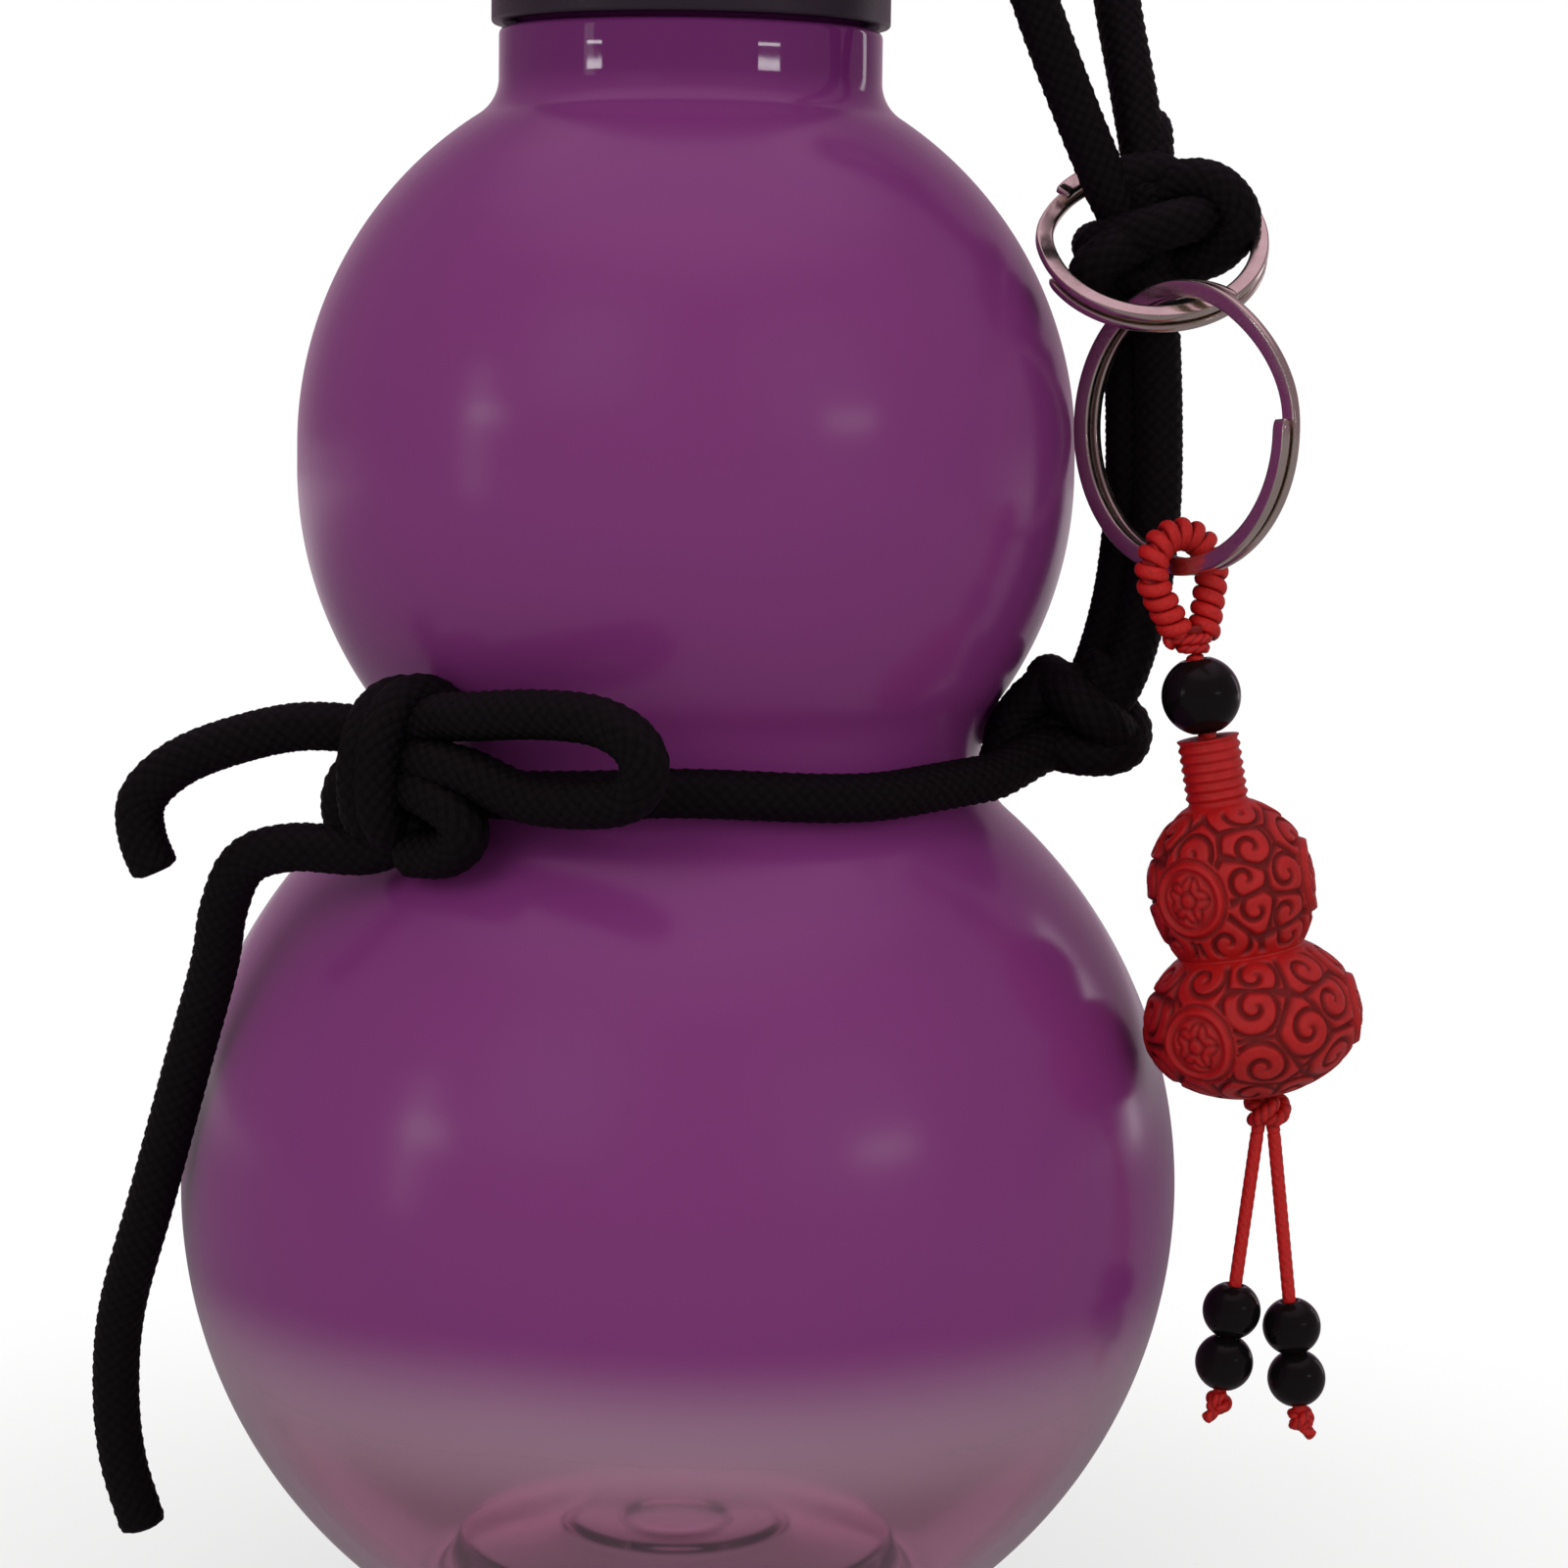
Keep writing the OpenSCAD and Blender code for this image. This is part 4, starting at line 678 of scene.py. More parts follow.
def waist_path():
    """The waist turn: a tilted ring whose two ends leave it on their tangents and meet at the knot."""
    r = WAIST_R + 2.9
    half = math.acos(r / (WAIST_R + 11))
    run = math.sqrt((WAIST_R + 11) ** 2 - r**2)
    a = np.linspace(half, TAU - half, 400)
    ring = np.stack([r * np.cos(a), r * np.sin(a), 0 * a], 1)
    k = np.linspace(run, 0, 40, endpoint=False)[:, None]
    first = ring[0] + k * np.array([math.sin(half), -math.cos(half), 0])
    last = ring[-1] + k[::-1] * np.array([math.sin(half), math.cos(half), 0])
    flat = even(np.vstack([first, ring, last]), BRAID_STEP) * MM
    path = place(flat, moved_by([0, 0, WAIST_Z - 0.5]) @ turned_by(-3.5, "Y") @ turned_by(1.5, "X") @ turned_by(KNOT_TURN, "Z"))
    turn = np.degrees(np.arctan2(path[:, 1], path[:, 0]))
    sag = np.clip((turn + 95) / 45, 0, 1) * np.clip((-14 - turn) / 16, 0, 1)
    path[:, 2] -= 2.3 * MM * sag * sag * (3 - 2 * sag)
    return path


def cord_piece(name, route, closed=False, ends=True, passes=6):
    """A black cord through a route given in millimetres, with the centreline it follows."""
    path = even(np.vstack([route, route[:1]]), BRAID_STEP)[:-1] if closed else softened(spline(route, BRAID_STEP), passes)
    return braided(name, path * MM, bpy.context.scene.gourd_cord.diameter / 2, closed, ends), path * MM


def joined(name, pieces, context):
    """Several meshes of one knot made one object."""
    bpy.ops.object.select_all(action="DESELECT")
    for ob in pieces:
        ob.select_set(True)
    context.view_layer.objects.active = pieces[0]
    bpy.ops.object.join()
    pieces[0].name = name
    pieces[0].data.name = name
    return pieces[0]


class GOURD_OT_black_cord(bpy.types.Operator):
    """Makes the braided black cord: waist turn, half bow, tails, both knots, riser and hand loop."""

    bl_idname = "gourd.black_cord"
    bl_label = "Black cord"

    def execute(self, context):
        cfg = context.scene.gourd_cord
        # 010101 is the painted shade colour in the gaps between the braid's strands.
        cord_material("braided_polyester_black", cfg.black, "#010101", 0.7, 2400.0, 0.22)
        thick = cfg.diameter
        waist = braided("waist_turn", waist_path(), thick / 2)
        settle(waist, "bottle", "black_cord", "waist_cord")
        wraps = [cord_piece("bow_part", in_bow(r))[0] for r in (BOW_WRAP, np.array(BOW_WRAP) + [-2.6, -0.2, -0.3], BOW_LEFT, BOW_RIGHT, BOW_FILL)]
        settle(joined("bow_wraps", wraps, context), "bottle", "black_cord", "bow_knot")
        loop, _ = cord_piece("bow_bight", in_bow(BOW_LOOP), passes=3)
        settle(loop, "bottle", "black_cord", "bow_loop")
        for name, route, node in (("tail_upper", UPPER_TAIL, "upper_tail"), ("tail_lower", LOWER_TAIL, "lower_tail")):
            tail, path = cord_piece(name, route)
            settle(tail, "bottle", "black_cord", node)
            tail.visible_glossy = node == "upper_tail"
        knot = [cord_piece("knot_part", oval(KNOT_AT, [0.62, 0, 0.78], 4.7, 5.8), closed=True)[0]]
        knot += [cord_piece("knot_part", KNOT_AT + np.array(KNOT_STRAND) + [0, s * 1.9, 0])[0] for s in (-1, 1)]
        knot += [cord_piece("knot_part", r)[0] for r in KNOT_LOBES]
        settle(joined("waist_knot_wraps", knot, context), "bottle", "black_cord", "waist_knot")
        for name, s, node in (("riser_back", -1, "riser_strand_back"), ("riser_front", 1, "riser_strand_front")):
            riser, _ = cord_piece(name, np.array(RISER) + s * RISER_OFFSET)
            settle(riser, "bottle", "black_cord", node)
        hold = UPPER_RING_AT + 11 * math.sqrt(0.5) * np.array([0, 1, 1])
        tilt = [math.radians(16), math.radians(-14)]
        parts = [
            cord_piece("knot_part", oval(RING_KNOT_AT + [0.6, 0, 2.4], [-math.sin(tilt[0]), 0, math.cos(tilt[0])], 6, 5.2), closed=True)[0],
            cord_piece("knot_part", oval(RING_KNOT_AT + [-0.4, 2.3, -2.8], [-math.sin(tilt[1]), 0, math.cos(tilt[1])], 4.6, 3.9), closed=True)[0],
            cord_piece("knot_part", hold + np.array(RING_HOOK))[0],
        ]
        parts += [cord_piece("knot_part", RING_KNOT_AT + np.array(RING_STRAND) + [1.2 * s, 0.5 - 1.4 * s, 0])[0] for s in (-1, 1)]
        parts += [cord_piece("knot_part", r)[0] for r in RING_LOBES]
        settle(joined("ring_knot_wraps", parts, context), "bottle", "black_cord", "ring_knot")
        strap, path = cord_piece("hand_loop", STRAP)
        settle(strap, "bottle", "black_cord", "strap_loop")
        return {"FINISHED"}


# ---------------------------------------------------------------- split rings
def ring_wire(name, radius, matrix, material):
    """A split ring: nearly two turns of flat wire with rounded edges, whose middle climbs from one layer to the next; the ends are ground to a slant."""
    layer, climb, gap = 1.45, 52.5, 3.75
    total = 720 - climb - 2 * gap
    a = np.linspace(0, total, 700)
    s = np.clip((a - (total - climb) / 2) / climb, 0, 1)
    rise = layer * (s * s * (3 - 2 * s) - 0.5)
    t = np.radians(a)
    path = np.stack([radius * np.cos(t), radius * np.sin(t), rise], 1) * MM
    k = np.linspace(0, TAU, 28, endpoint=False)
    half = (0.5, 0.9)
    edge = 0.42
    section = np.stack([half[0] * np.sign(np.cos(k)) * np.abs(np.cos(k)) ** edge, half[1] * np.sign(np.sin(k)) * np.abs(np.sin(k)) ** edge], 1) * MM
    near = np.minimum(a, total - a)
    thin = 0.45 + 0.55 * np.clip(near / 5, 0, 1) ** 0.5
    section = section[None] * np.stack([thin, 0.8 + 0.2 * np.clip(near / 3, 0, 1) ** 0.5], -1)[:, None, :]
    path = place(path, matrix)
    up = np.array(matrix)[:3, 2]
    return sweep(name, path, section, material, start=up)


class GOURD_OT_rings(bpy.types.Operator):
    """Makes the two split rings."""

    bl_idname = "gourd.rings"
    bl_label = "Split rings"

    def execute(self, context):
        m = nickel_plated_steel()
        upper = ring_wire("ring_upper", 11, moved_by(UPPER_RING_AT) @ turned_by(45, "X") @ turned_by(205, "Z"), m)
        settle(upper, "bottle", "ring_steel", "upper_split_ring")
        lower = ring_wire("ring_lower", 14, moved_by([50.632, -17.8769, 126.623]) @ turned_by(-50, "Z") @ turned_by(90, "X") @ turned_by(65, "Z"), m)
        settle(lower, "lower_ring", "ring_steel", "lower_split_ring")
        return {"FINISHED"}


# ---------------------------------------------------------------- charm
SWING_AT, TASSEL_TOP = np.array([50.632, -17.8769, 112.623]), np.array([60.7042, -17.8769, 54.1139])
LEAN = 10.2592
LOOP_ARC, LOOP_END, BEAD_AT, CHARM_TOP, CHARM_FOOT, RED_KNOT_AT = 0.55, 8.95, 13.3, 17.65, 55.05, 56.5531
LOOP_R, LOOP_DROP, LOOP_TURN, WRAP_TURNS = 3.85, 8.4, 33.0, 17
CHARM_R = {"low": 11.3, "up": 8.6, "waist": 6.4, "neck": 3.4}
BULB_H, BULB_PITCH, WAIST_UP, SHOULDER_H, NECK_H, NECK_RIBS = 7.7, 14.4, 7.6, 8.4, 6.9, 7


def on_string(s):
    """Matrix of the place at length s down the leaning string, with +Z back up the string."""
    return moved_by(SWING_AT) @ turned_by(-LEAN, "Y") @ moved_by([0, 0, -s])


def loop_path(n):
    """Middle line of the wrapped loop: two straight sides tangent to a round top, from the left foot to the right one."""
    foot = np.array([1.4, LOOP_DROP - 1.5])
    reach = np.linalg.norm(foot)
    low = math.atan2(foot[1], foot[0]) - math.acos(LOOP_R / reach)
    a = np.linspace(math.pi + low, -low, 160)
    top = np.stack([LOOP_R * np.cos(a), 0 * a, LOOP_R * np.sin(a)], 1)
    k = np.linspace(0, 1, 40, endpoint=False)[:, None]
    left = np.array([-foot[0], 0, -foot[1]])
    right = np.array([foot[0], 0, -foot[1]])
    whole = np.vstack([left + (top[0] - left) * k, top, right + (top[-1] - right) * k[::-1]])
    return even(whole, path_length(whole) / n)


def wrap_path(turns, radius, n):
    """The wrapping thread: a helix about the loop's middle line."""
    mid = loop_path(n)
    lengths = np.linspace(0, path_length(mid), len(mid))
    margin = 0.5
    s = np.linspace(margin, lengths[-1] - margin, n)
    p = np.stack([np.interp(s, lengths, mid[:, i]) for i in range(3)], 1)
    t = unit(np.gradient(p, axis=0))
    out = np.cross([0, 1, 0], t)
    a = (TAU * turns * np.linspace(0, 1, n))[:, None]
    return p - radius * np.cos(a) * out + radius * np.sin(a) * np.array([0, 1, 0]), out


def bead_profile(radius, height, bore):
    """Closed profile of a bored bead with eased edges."""
    h = height / 2
    top = math.degrees(math.asin(h / radius))
    ball = arc(0, 0, radius, -top, top, 40)
    edge = 0.18
    wall = rounded_profile([[ball[-1, 0], h], [bore + edge, h], [bore, h - edge], [bore, 0], [bore, -h + edge], [bore + edge, -h], [ball[0, 0], -h]], 0.15, 3)[1:-1]
    return np.vstack([ball, wall]) * MM


def put_bead(name, radius, height, bore, matrix, body, node):
    """A polished bead in its place."""
    ob = turned(name, bead_profile(radius, height, bore), 72, bpy.data.materials["polished_glass_black"])
    ob.data.transform(matrix)
    return settle(ob, body, "black_bead", node)


def trefoil(across, thick, matrix, name, material, flat=1.0):
    """A small tied knot: a trefoil curve, radius two plus the cosine of three turns over two, of laid cord."""
    t = np.linspace(0, TAU, 240, endpoint=False)
    k = (across - thick) / 3
    p = np.stack([(2 + np.cos(3 * t)) * np.cos(2 * t), (2 + np.cos(3 * t)) * np.sin(2 * t), flat * 1.15 * np.sin(3 * t)], 1) * k * MM
    return twisted(name, place(p, matrix), thick * MM, 3, 0.0024, material, start=(0.1, 0.3, 1), closed=True)


def charm_profile():
    """Outer profile of the charm from the foot up: each bulb is two half ovals, both bulbs meet in a crease, and the neck has faint ribs."""
    def bulb(r, z, down, up, low, high, n):
        a = np.radians(np.linspace(low, high, n))
        return np.stack([r * np.cos(a), z + np.where(a < 0, down, up) * np.sin(a)], 1)

    low_turn, up_low, up_high = (math.degrees(math.acos(CHARM_R[k] / CHARM_R[bulb_name])) for k, bulb_name in (("waist", "low"), ("waist", "up"), ("neck", "up")))
    crease = BULB_PITCH - WAIST_UP
    low_z, up_z = BULB_H, BULB_H + BULB_PITCH
    low = bulb(CHARM_R["low"], low_z, BULB_H, WAIST_UP / math.sin(math.radians(low_turn)), -72, low_turn, 108)
    up = bulb(CHARM_R["up"], up_z, crease / math.sin(math.radians(up_low)), SHOULDER_H / math.sin(math.radians(up_high)), -up_low, up_high, 96)[1:]
    u = np.linspace(0, 1, 60)[1:]
    neck = np.stack([CHARM_R["neck"] - 0.2 - 0.13 * (1 - np.cos(TAU * NECK_RIBS * u)), up_z + SHOULDER_H + u * NECK_H], 1)
    return low, up, neck


def scroll_height(here, outline, rows):
    """Relief of one bulb's scrolls, 0 on the face and -1 in a cut. Each scroll owns the points nearest to its eye; inside it the cut is the
    even spiral distance / pitch = angle / whole turn, and a cut line parts it from its neighbours."""
    pitch, line = 1.95, bpy.context.scene.gourd_charm.line / MM
    eyes, hands = [], []
    for z, angles, hand in rows:
        for k, a in enumerate(np.radians(angles)):
            a, up = a + 0.05 * math.sin(5 * k + z), z + 0.55 * math.sin(7 * k + 2 * z)
            r = np.interp(up, outline[:, 1], outline[:, 0])
            eyes.append([r * math.cos(a), r * math.sin(a), up])
            hands.append(hand * (1 if k % 2 else -1))
    eyes, hands = np.array(eyes), np.array(hands)
    gaps = np.linalg.norm(here[:, None, :] - eyes[None], axis=2)
    order = np.argsort(gaps, axis=1)[:, :2]
    pick = np.arange(len(here))
    own, near, second = order[:, 0], gaps[pick, order[:, 0]], gaps[pick, order[:, 1]]
    off = here - eyes[own]
    round_about = np.arctan2(eyes[own, 1], eyes[own, 0])
    turn = np.arctan2(off[:, 2], -off[:, 0] * np.sin(round_about) + off[:, 1] * np.cos(round_about))
    swirl = np.mod(near / pitch - hands[own] * turn / TAU + 0.25, 1) - 0.5
    cut = np.exp(-((np.abs(swirl) * pitch / line) ** 2.4)) * np.clip(near / 0.7, 0, 1)
    parting = np.exp(-(((second - near) / (1.9 * line)) ** 2.4))
    return -np.maximum(cut, parting)


def medallion_height(dist, turn, radius):
    """Relief of a round medallion: a raised rim and, inside it, a five-petalled flower round a small boss, cut as lines."""
    rim = np.exp(-(((dist - (radius - 0.45)) / 0.3) ** 2))
    ditch = -0.9 * np.exp(-(((dist - radius - 0.12) / 0.26) ** 2)) - 0.6 * np.exp(-(((dist - (radius - 1.05)) / 0.24) ** 2))
    petal = radius * (0.42 + 0.2 * np.abs(np.cos(2.5 * turn)))
    flower = -0.75 * np.exp(-(((dist - petal) / 0.22) ** 2))
    vein = -0.6 * np.exp(-((np.sin(2.5 * turn) * dist / 0.45) ** 2)) * ((dist > 0.9) & (dist < petal))
    boss = -0.7 * np.exp(-(((dist - 0.85) / 0.2) ** 2))
    return rim * 0.5 + 0.7 * (ditch + flower + vein + boss)


class GOURD_OT_charm(bpy.types.Operator):
    """Makes the carved lacquer gourd: scrolls cut into both bulbs round three flower medallions each."""

    bl_idname = "gourd.charm"
    bl_label = "Carved charm"

    def execute(self, context):
        cfg = context.scene.gourd_charm
        low, up, neck = charm_profile()
        bore = 1.08
        z_top = neck[-1, 1]
        inner = np.array([[bore + 0.2, z_top], [bore, z_top - 0.2], [bore, z_top / 2], [bore, low[0, 1] + 0.2], [bore + 0.2, low[0, 1]]])
        outer = np.vstack([low, up, neck])
        profile = np.vstack([outer, inner])
        cols = 352
        angle = np.arange(cols) / cols * TAU
        r = np.repeat(outer[:, :1], cols, 1)
        pts = np.stack([r * np.cos(angle), r * np.sin(angle), np.repeat(outer[:, 1:], cols, 1)], -1)
        cut = np.zeros(r.shape)
        first = np.array([-128, -8, 112])
        low_z, up_z = BULB_H, BULB_H + BULB_PITCH
        low_rows = (
            (low_z - 6.2, np.arange(8) * 45 - 108, 1), (low_z - 3.1, np.concatenate([first + 38, first + 82]), -1), (low_z, first + 60, 1),
            (low_z + 2.9, np.concatenate([first + 38, first + 82]), 1), (low_z + 5.7, np.arange(9) * 40 - 128, -1),
        )
        up_rows = (
            (up_z - 5.2, np.arange(7) * 51.43 - 102, -1), (up_z - 2.2, np.concatenate([first + 46, first + 74]), 1),
            (up_z + 1.6, np.concatenate([first + 46, first + 74]), -1), (up_z + 5, np.arange(7) * 51.43 - 128, 1), (up_z + 7.4, np.arange(4) * 90 - 70, -1),
        )
        parts = (("low", low_z, low_rows, slice(0, len(low))), ("up", up_z, up_rows, slice(len(low), len(low) + len(up))))
        for part, mid, rows, span in parts:
            here = pts[span].reshape(-1, 3)
            relief = scroll_height(here, outer[span], rows)
            radius = CHARM_R[part]
            for a in np.radians(first):
                centre = np.array([radius * math.cos(a), radius * math.sin(a), mid])
                off = here - centre
                across = off @ np.array([-math.sin(a), math.cos(a), 0])
                dist = np.linalg.norm(off, axis=1)
                size = 4.0
                relief = np.where(dist < size + 0.55, medallion_height(dist, np.arctan2(off[:, 2], across), size), relief)
            z = pts[span][..., 2]
            edge = np.minimum(z - z.min(), z.max() - z)
            cut[span] = relief.reshape(z.shape) * np.clip(edge / 0.6 - 0.4, 0, 1)
        carved = r * MM + cfg.depth * cut
        grid = np.vstack([carved, np.repeat(inner[:, :1], cols, 1) * MM])
        # The relief attribute also sets the painted shade: 1 on the faces, 0 in the cuts and all through the bore.
        ob = turned("carved_gourd", profile * MM, cols, carved_lacquer(), lambda ang, row: grid[row[:, 0]] - profile[row[:, 0], :1] * MM,
                    values={"relief": np.clip(np.vstack([1 + cut * 1.1, np.zeros((len(inner), cols))]), 0, 1)})
        ob.data.transform(on_string(CHARM_FOOT))
        settle(ob, "charm", "red_lacquer", "charm_gourd")
        return {"FINISHED"}


class GOURD_OT_charm_string(bpy.types.Operator):
    """Makes the wrapped loop, the bead, the core cord and the red knot of the charm's string."""

    bl_idname = "gourd.charm_string"
    bl_label = "Charm string"

    def execute(self, context):
        cfg = context.scene.gourd_cord
        # 5a0507 is the painted shade colour in the gaps between the strands.
        red = cord_material("braided_nylon_red", cfg.red, "#5a0507", 0.5, 2600.0, 0.3)
        polished_bead()
        at = on_string(LOOP_ARC) @ turned_by(LOOP_TURN, "Z")
        core = place(loop_path(160) * MM, at)
        loop = twisted("loop_core", core, 0.00105, 3, 0.004, red, start=np.array(at)[:3, 1])
        foot = even(place(np.array([[0, 0, -LOOP_DROP + 2.9], [0, 0, -LOOP_DROP + 0.1]]) * MM, at), 0.00012)
        u = np.linspace(0, 1, len(foot))
        a = np.linspace(0, TAU, 32, endpoint=False)
        section = (0.0019 - 0.0009 * u)[:, None, None] * np.stack([np.cos(a), 0.72 * np.sin(a)], -1)[None]
        section = section * rounded_ends(u, 1.0, 1.0, 0.18)[:, None, None]
        # A relief of 0.3 all over puts the whole binding close to the painted gap-shade colour, darker than the loop.
        binding = sweep("loop_binding", foot, section, red, start=np.array(at)[:3, 0], values={"relief": 0.3 * np.ones((len(u), 32))})
        u = np.linspace(0, 1, 200)
        a = TAU * 2 * u
        coil = np.stack([(2 - 0.85 * u) * np.cos(a), 0.8 * (2 - 0.85 * u) * np.sin(a), -LOOP_DROP + 2.2 - 1.9 * u], 1)
        coil = twisted("loop_coil", even(place(coil * MM, at), 0.0001), 0.00056, 3, 0.0026, red, start=(0, 0, 1))
        settle(joined("loop_core", [loop, binding, coil], context), "charm_string", "red_cord", "charm_loop")
        path, _ = wrap_path(WRAP_TURNS, 1.18, WRAP_TURNS * 30)
        path = place(path * MM, at)
        t, n, b = frames_along(path, False, (0, 1, 0.1))
        mid = place(wrap_path(WRAP_TURNS, 0.0, WRAP_TURNS * 30)[0] * MM, at)
        out = unit(path - mid)
        k = np.arctan2((np.cross(n, out) * t).sum(1), (n * out).sum(1))
        a = np.linspace(0, TAU, 16, endpoint=False)
        x, y = 0.00056 * np.cos(a)[None, :], 0.00074 * np.sin(a)[None, :]
        section = np.stack([x * np.cos(k)[:, None] - y * np.sin(k)[:, None], x * np.sin(k)[:, None] + y * np.cos(k)[:, None]], -1)
        # Painted shade: relief falls to 0.35 on the side of the thread that lies against the loop core.
        wrap = sweep("loop_thread", path, section, red, start=(0, 1, 0.1), values={"relief": (0.35 + 0.65 * np.cos(a)[None, :].clip(0)) * np.ones((len(path), 1))})
        settle(wrap, "charm_string", "red_cord", "loop_wrap")
        put_bead("bead_large", 4.05, 7.5, 1.08, on_string(BEAD_AT), "charm_string", "charm_bead")
        core = even(place(np.array([[0, 0, -LOOP_END], [0, 0, -RED_KNOT_AT]]) * MM, on_string(0)), 0.00015)
        settle(twisted("string_core", core, 0.001, 3, 0.004, red, start=(1, 0, 0)), "charm_string", "red_cord", "charm_cord")
        knot = trefoil(2.6, 0.82, on_string(RED_KNOT_AT) @ turned_by(12, "X"), "knot_red", red, flat=1.25)
        ends = []
        for side in (-1, 1):
            route = TASSEL_TOP + np.array([[side * 0.4, 0, 2.5], [side * 0.7, 0, 1.3], [side * 0.9, 0, 0.25]])
            ends.append(twisted("knot_end", spline(route, 0.12) * MM, cfg.tassel / 2, 5, 0.005, red, start=(1, 0, 0), gap=0.09))
        settle(joined("knot_red", [knot, *ends], context), "charm_string", "red_cord", "charm_knot")
        return {"FINISHED"}


class GOURD_OT_tassels(bpy.types.Operator):
    """Makes the two tassel cords with their beads and end knots."""

    bl_idname = "gourd.tassels"
    bl_label = "Tassels"

    def execute(self, context):
        cfg = context.scene.gourd_cord
        red = bpy.data.materials["braided_nylon_red"]
        top, spread = TASSEL_TOP, 6.652
        for side, word, length in ((-1, "left", 28.2), (1, "right", 29.8)):
            at = moved_by(top + [side * 0.9, 0, 0]) @ turned_by(-side * spread, "Y")
            route = place(np.array([[0, 0, 0.6], [0, 0, -length - 1.3]]) * MM, at)
            path = even(route, 0.00014)
            cord = twisted("tassel_" + word, path, cfg.tassel / 2, 5, 0.005, red, start=(1, 0, 0), gap=0.09)
            body = "tassel_" + word
            settle(cord, body, "red_cord", "tassel_cord_" + word)
            places = (("upper", length - 9.8), ("lower", length - 4.3))
            beads = [put_bead(f"bead_{word}_{part}", 3.0, 5.4, 0.8, at @ moved_by([0, 0, -s]), body, f"bead_{word}_{part}") for part, s in places]
            knot = trefoil(1.5, 0.58, at @ moved_by([0, 0, -length]) @ turned_by(25 * side, "X"), "end_knot_tied_" + word, red, flat=1.7)
            lean = np.array([[0, 0, -0.4], [side * 0.5, -0.2, -1.2], [side * 1.2, -0.4, -2]]) * MM
            tip = twisted("tip_" + word, softened(spline(place(lean, at @ moved_by([0, 0, -length])), 0.0001), 3), 0.00066, 3, 0.0034, red, start=(1, 0, 0))
            knot = joined("knot_end_" + word, [knot, tip], context)
            settle(knot, body, "red_cord", "end_knot_" + word)
        return {"FINISHED"}


# ---------------------------------------------------------------- stage
def lamp(name, turn, high, away, width, height, power, glossy=True):
    """A soft lamp. turn is its direction from the viewer's, to the right; high its height; away its distance from the axis."""
    data = bpy.data.lights.new(name, "AREA")
    data.shape, data.size, data.size_y, data.energy = "RECTANGLE", width, height, power
    ob = bpy.data.objects.new(name, data)
    a = math.radians(turn)
    ob.location = (away * math.sin(a), -away * math.cos(a), high)
    aim = Vector((0, 0, 0.13)) - ob.location
    ob.rotation_mode = "QUATERNION"
    ob.rotation_quaternion = aim.to_track_quat("-Z", "Y")
    ob.visible_glossy = glossy
    bpy.context.scene.collection.objects.link(ob)
    return ob


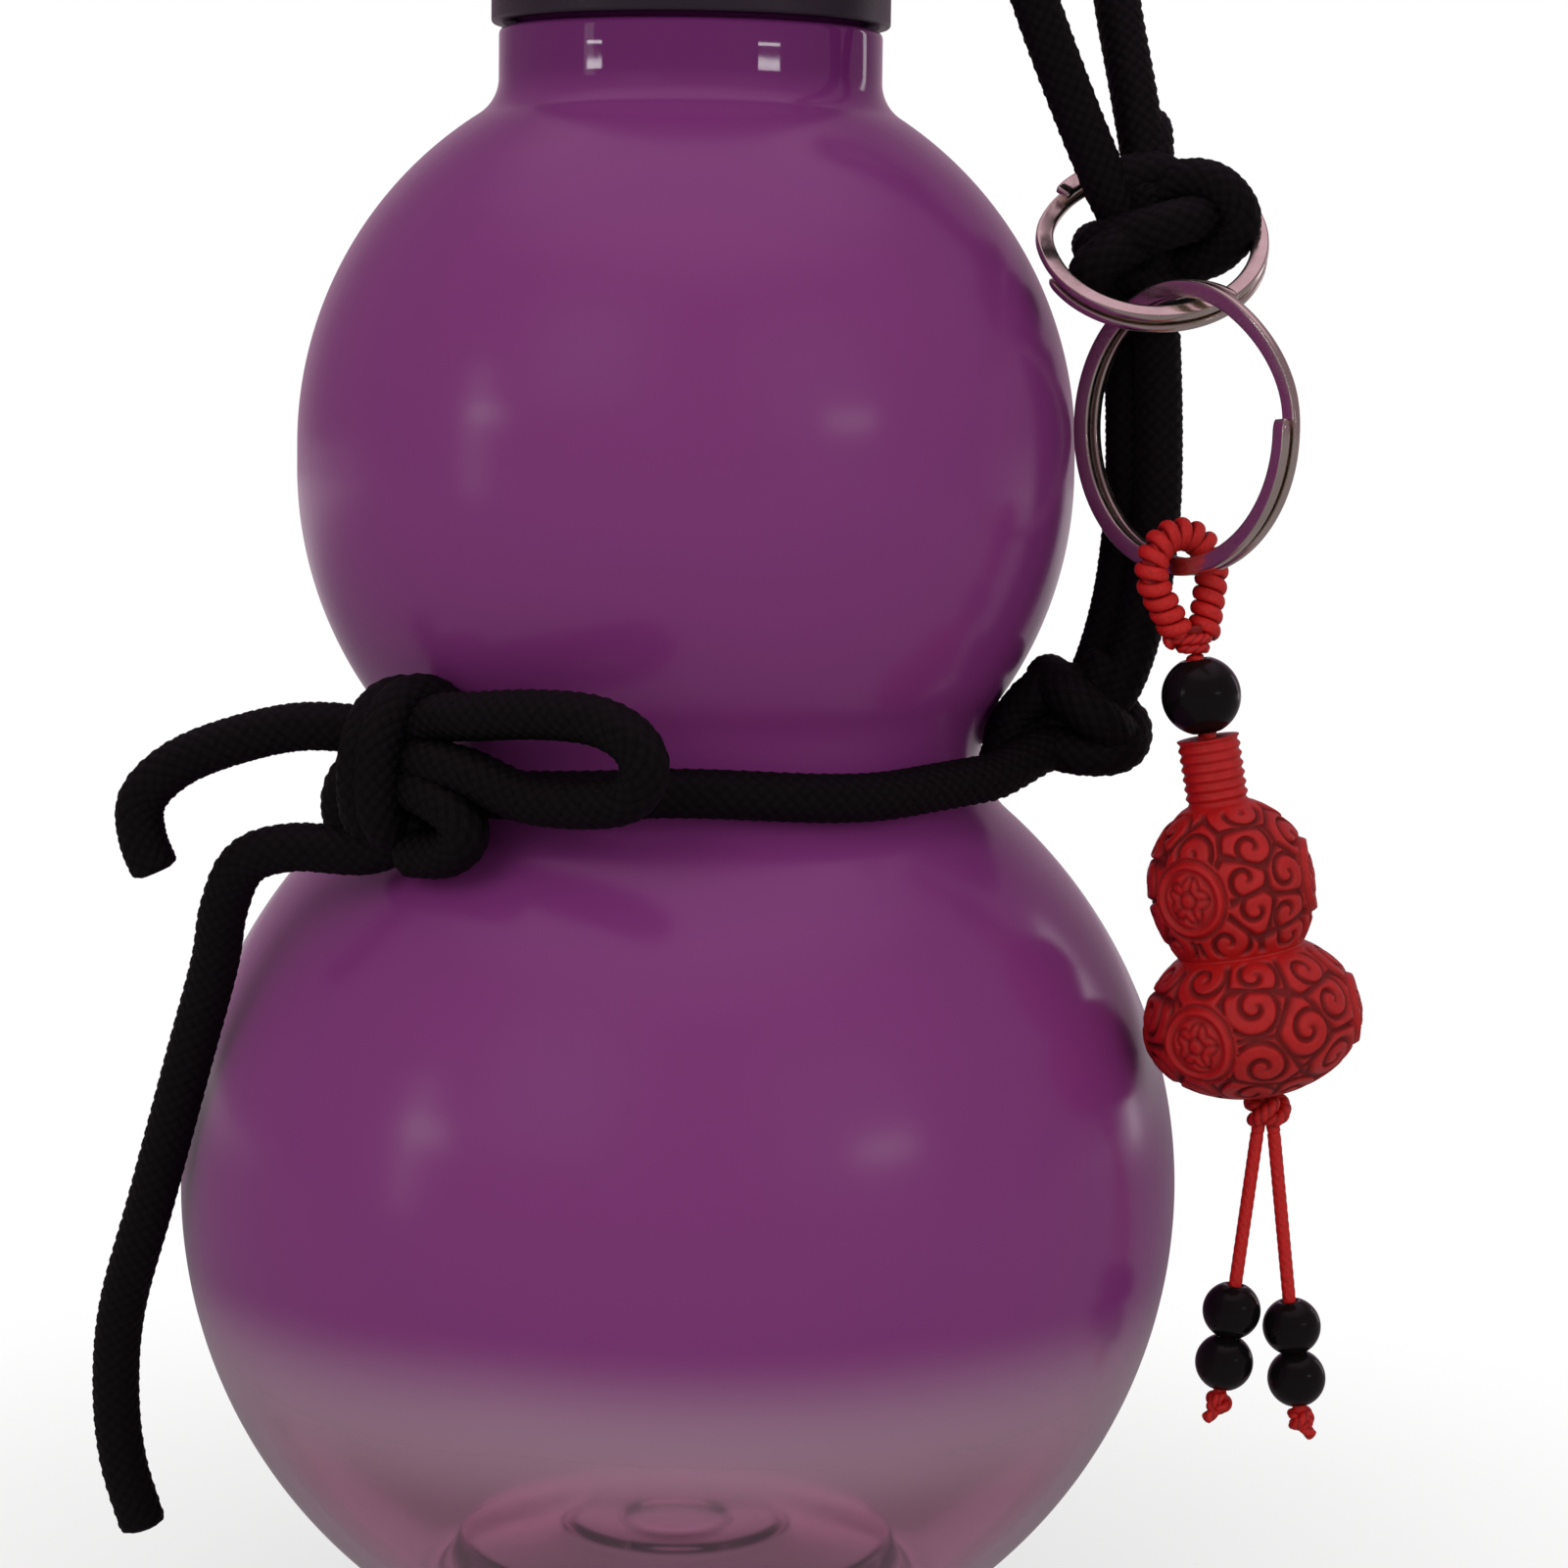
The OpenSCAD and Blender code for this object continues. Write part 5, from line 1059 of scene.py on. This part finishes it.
class GOURD_OT_stage(bpy.types.Operator):
    """Makes the floor, the white backdrop, the lamps and the camera."""

    bl_idname = "gourd.stage"
    bl_label = "Stage"

    def execute(self, context):
        cfg = context.scene.gourd_stage
        scene = context.scene
        scene.view_settings.view_transform = "Standard"
        m, t, out = new_material("matt_paper_pale")
        where = put(t, "ShaderNodeTexCoord").outputs["Object"]
        grain = put(t, "ShaderNodeTexNoise", {"Scale": 900.0, "Detail": 2.0}, {"Vector": where})
        bump = put(t, "ShaderNodeBump", {"Strength": 0.05, "Distance": 0.0001}, {"Height": grain.outputs["Fac"]})
        paper = put(t, "ShaderNodeBsdfPrincipled", {"Base Color": linear(cfg.pale), "Roughness": 0.9}, {"Normal": bump.outputs[0]})
        far = put(t, "ShaderNodeVectorMath", {"operation": "LENGTH"}, {0: where})
        white = put(t, "ShaderNodeMapRange", {"interpolation_type": "SMOOTHSTEP", "From Min": 0.05, "From Max": 0.16, "To Min": 0.72}, {"Value": far.outputs["Value"]})
        back = put(t, "ShaderNodeMapRange", {"From Min": 0.25, "From Max": 0.9, "To Min": 0.27, "To Max": 0.75}, {"Value": put(t, "ShaderNodeSeparateXYZ", links={"Vector": where}).outputs["Y"]})
        rays = put(t, "ShaderNodeLightPath")
        seen = put(t, "ShaderNodeMath", {"operation": "MULTIPLY"}, {0: white.outputs[0], 1: rays.outputs["Is Camera Ray"]})
        through = put(t, "ShaderNodeMath", {"operation": "MULTIPLY", 1: 0.85}, {0: rays.outputs["Is Transmission Ray"]})
        most = put(t, "ShaderNodeMath", {"operation": "MAXIMUM"}, {0: seen.outputs[0], 1: through.outputs[0]})
        plain = put(t, "ShaderNodeEmission", {"Color": (1, 1, 1, 1), "Strength": 1.0})
        both = put(t, "ShaderNodeMixShader", None, {0: most.outputs[0], 1: paper.outputs[0], 2: plain.outputs[0]})
        dim = put(t, "ShaderNodeEmission", {"Color": linear("#f6e4ee")}, {"Strength": back.outputs[0]})
        whole = put(t, "ShaderNodeMixShader", None, {0: rays.outputs["Is Glossy Ray"], 1: both.outputs[0], 2: dim.outputs[0]})
        t.links.new(whole.outputs[0], out.inputs["Surface"])
        floor = add_mesh("floor", np.array([[-3, -3, 0], [3, -3, 0], [3, 3, 0], [-3, 3, 0]]) - [0, 0, 0.00002], [[0, 1, 2, 3]], [], m)
        world = bpy.data.worlds.new("soft_room")
        scene.world = world
        world.use_nodes = True
        w = world.node_tree
        w.nodes.clear()
        rays = put(w, "ShaderNodeLightPath")
        parts = put(w, "ShaderNodeSeparateXYZ", links={"Vector": put(w, "ShaderNodeTexCoord").outputs["Generated"]})
        behind = put(w, "ShaderNodeMapRange", {"interpolation_type": "SMOOTHSTEP", "From Min": 0.64, "From Max": 1.0, "To Min": 0.25, "To Max": 0.54}, {"Value": parts.outputs["Y"]})
        above = put(w, "ShaderNodeMapRange", {"interpolation_type": "SMOOTHSTEP", "From Min": 0.55, "From Max": 0.95, "To Max": 0.8}, {"Value": parts.outputs["Z"]})
        shine = put(w, "ShaderNodeMath", {"operation": "MAXIMUM"}, {0: behind.outputs[0], 1: above.outputs[0]})
        seen = put(w, "ShaderNodeMath", {"operation": "MAXIMUM"}, {0: rays.outputs["Is Camera Ray"], 1: rays.outputs["Is Transmission Ray"]})
        other = put(w, "ShaderNodeMix", {"data_type": "FLOAT", "A": 0.75}, {"Factor": rays.outputs["Is Glossy Ray"], "B": shine.outputs[0]})
        level = put(w, "ShaderNodeMix", {"data_type": "FLOAT", "B": 1.0}, {"Factor": seen.outputs[0], "A": other.outputs[0]})
        warm = put(w, "ShaderNodeMix", {"data_type": "RGBA", "A": (1, 1, 1, 1), "B": linear("#f2cbe2")}, {"Factor": rays.outputs["Is Glossy Ray"]})
        sky = put(w, "ShaderNodeBackground", None, {"Color": warm.outputs["Result"], "Strength": level.outputs[0]})
        w.links.new(sky.outputs[0], w.nodes.new("ShaderNodeOutputWorld").inputs["Surface"])
        lamp("key_lamp", -30, 0.9, 1.5, 0.9, 0.9, cfg.key, glossy=False)
        lamp("fill_lamp", 40, 0.6, 1.4, 0.9, 0.9, cfg.key * 0.6, glossy=False)
        lamp("neck_glint_left", -57, 0.225, 0.7, 0.12, 0.01, 0.04)
        lamp("neck_glint_right", 48, 0.225, 0.7, 0.17, 0.01, 0.052)
        lamp("window_left", -61, 0.24, 0.9, 0.1, 0.4, 0.1)
        lamp("window_back_right", 128, 0.2, 0.9, 0.07, 0.5, 0.2)
        cam = bpy.data.cameras.new("camera")
        focal = 9.6 * cfg.distance / MM / math.cos(cfg.pitch)
        cam.sensor_width, cam.lens = 36, focal / 1601 * 36
        ob = bpy.data.objects.new("camera", cam)
        look = np.array([0, math.cos(cfg.pitch), -math.sin(cfg.pitch)])
        right, up = np.array([1.0, 0, 0]), np.array([0, math.sin(cfg.pitch), math.cos(cfg.pitch)])
        c, s = math.cos(cfg.roll), math.sin(cfg.roll)
        right, up = c * right + s * up, c * up - s * right
        spot = np.array([10.7 * MM, -cfg.distance, 88 * MM + cfg.distance * math.tan(cfg.pitch)])
        ob.matrix_world = Matrix([[right[i], up[i], -look[i], spot[i]] for i in range(3)] + [[0, 0, 0, 1]])
        scene.collection.objects.link(ob)
        scene.camera = ob
        return {"FINISHED"}


class GOURD_PT_panel(bpy.types.Panel):
    """Lists the pieces of the bottle with their settings."""

    bl_idname = "GOURD_PT_panel"
    bl_label = "Gourd bottle"
    bl_space_type = "VIEW_3D"
    bl_region_type = "UI"
    bl_category = "Gourd bottle"

    def draw(self, context):
        for group, ops in (
            (context.scene.gourd_stage, ["gourd.stage"]),
            (context.scene.gourd_bottle, ["gourd.bottle", "gourd.cap"]),
            (context.scene.gourd_cord, ["gourd.black_cord", "gourd.rings", "gourd.charm_string", "gourd.tassels"]),
            (context.scene.gourd_charm, ["gourd.charm"]),
        ):
            box = self.layout.box()
            for key in group.bl_rna.properties.keys():
                if key not in ("rna_type", "name"):
                    box.prop(group, key)
            for op in ops:
                box.operator(op)


CLASSES = (
    BottleSettings, CordSettings, CharmSettings, StageSettings, GOURD_OT_stage, GOURD_OT_bottle, GOURD_OT_cap, GOURD_OT_black_cord,
    GOURD_OT_rings, GOURD_OT_charm_string, GOURD_OT_charm, GOURD_OT_tassels, GOURD_PT_panel,
)
GROUPS = {"gourd_bottle": BottleSettings, "gourd_cord": CordSettings, "gourd_charm": CharmSettings, "gourd_stage": StageSettings}


def register():
    """Registers the classes and hangs the settings on the scene."""
    for c in CLASSES:
        bpy.utils.register_class(c)
    for key, group in GROUPS.items():
        setattr(bpy.types.Scene, key, bpy.props.PointerProperty(type=group))


def unregister():
    """Takes the settings and the classes away again."""
    for key in GROUPS:
        delattr(bpy.types.Scene, key)
    for c in reversed(CLASSES):
        bpy.utils.unregister_class(c)


def main():
    """Builds every piece in order."""
    register()
    for step in (bpy.ops.gourd.stage, bpy.ops.gourd.black_cord, bpy.ops.gourd.bottle, bpy.ops.gourd.cap,
                 bpy.ops.gourd.rings, bpy.ops.gourd.charm_string, bpy.ops.gourd.charm, bpy.ops.gourd.tassels):
        step()


if __name__ == "__main__":
    main()
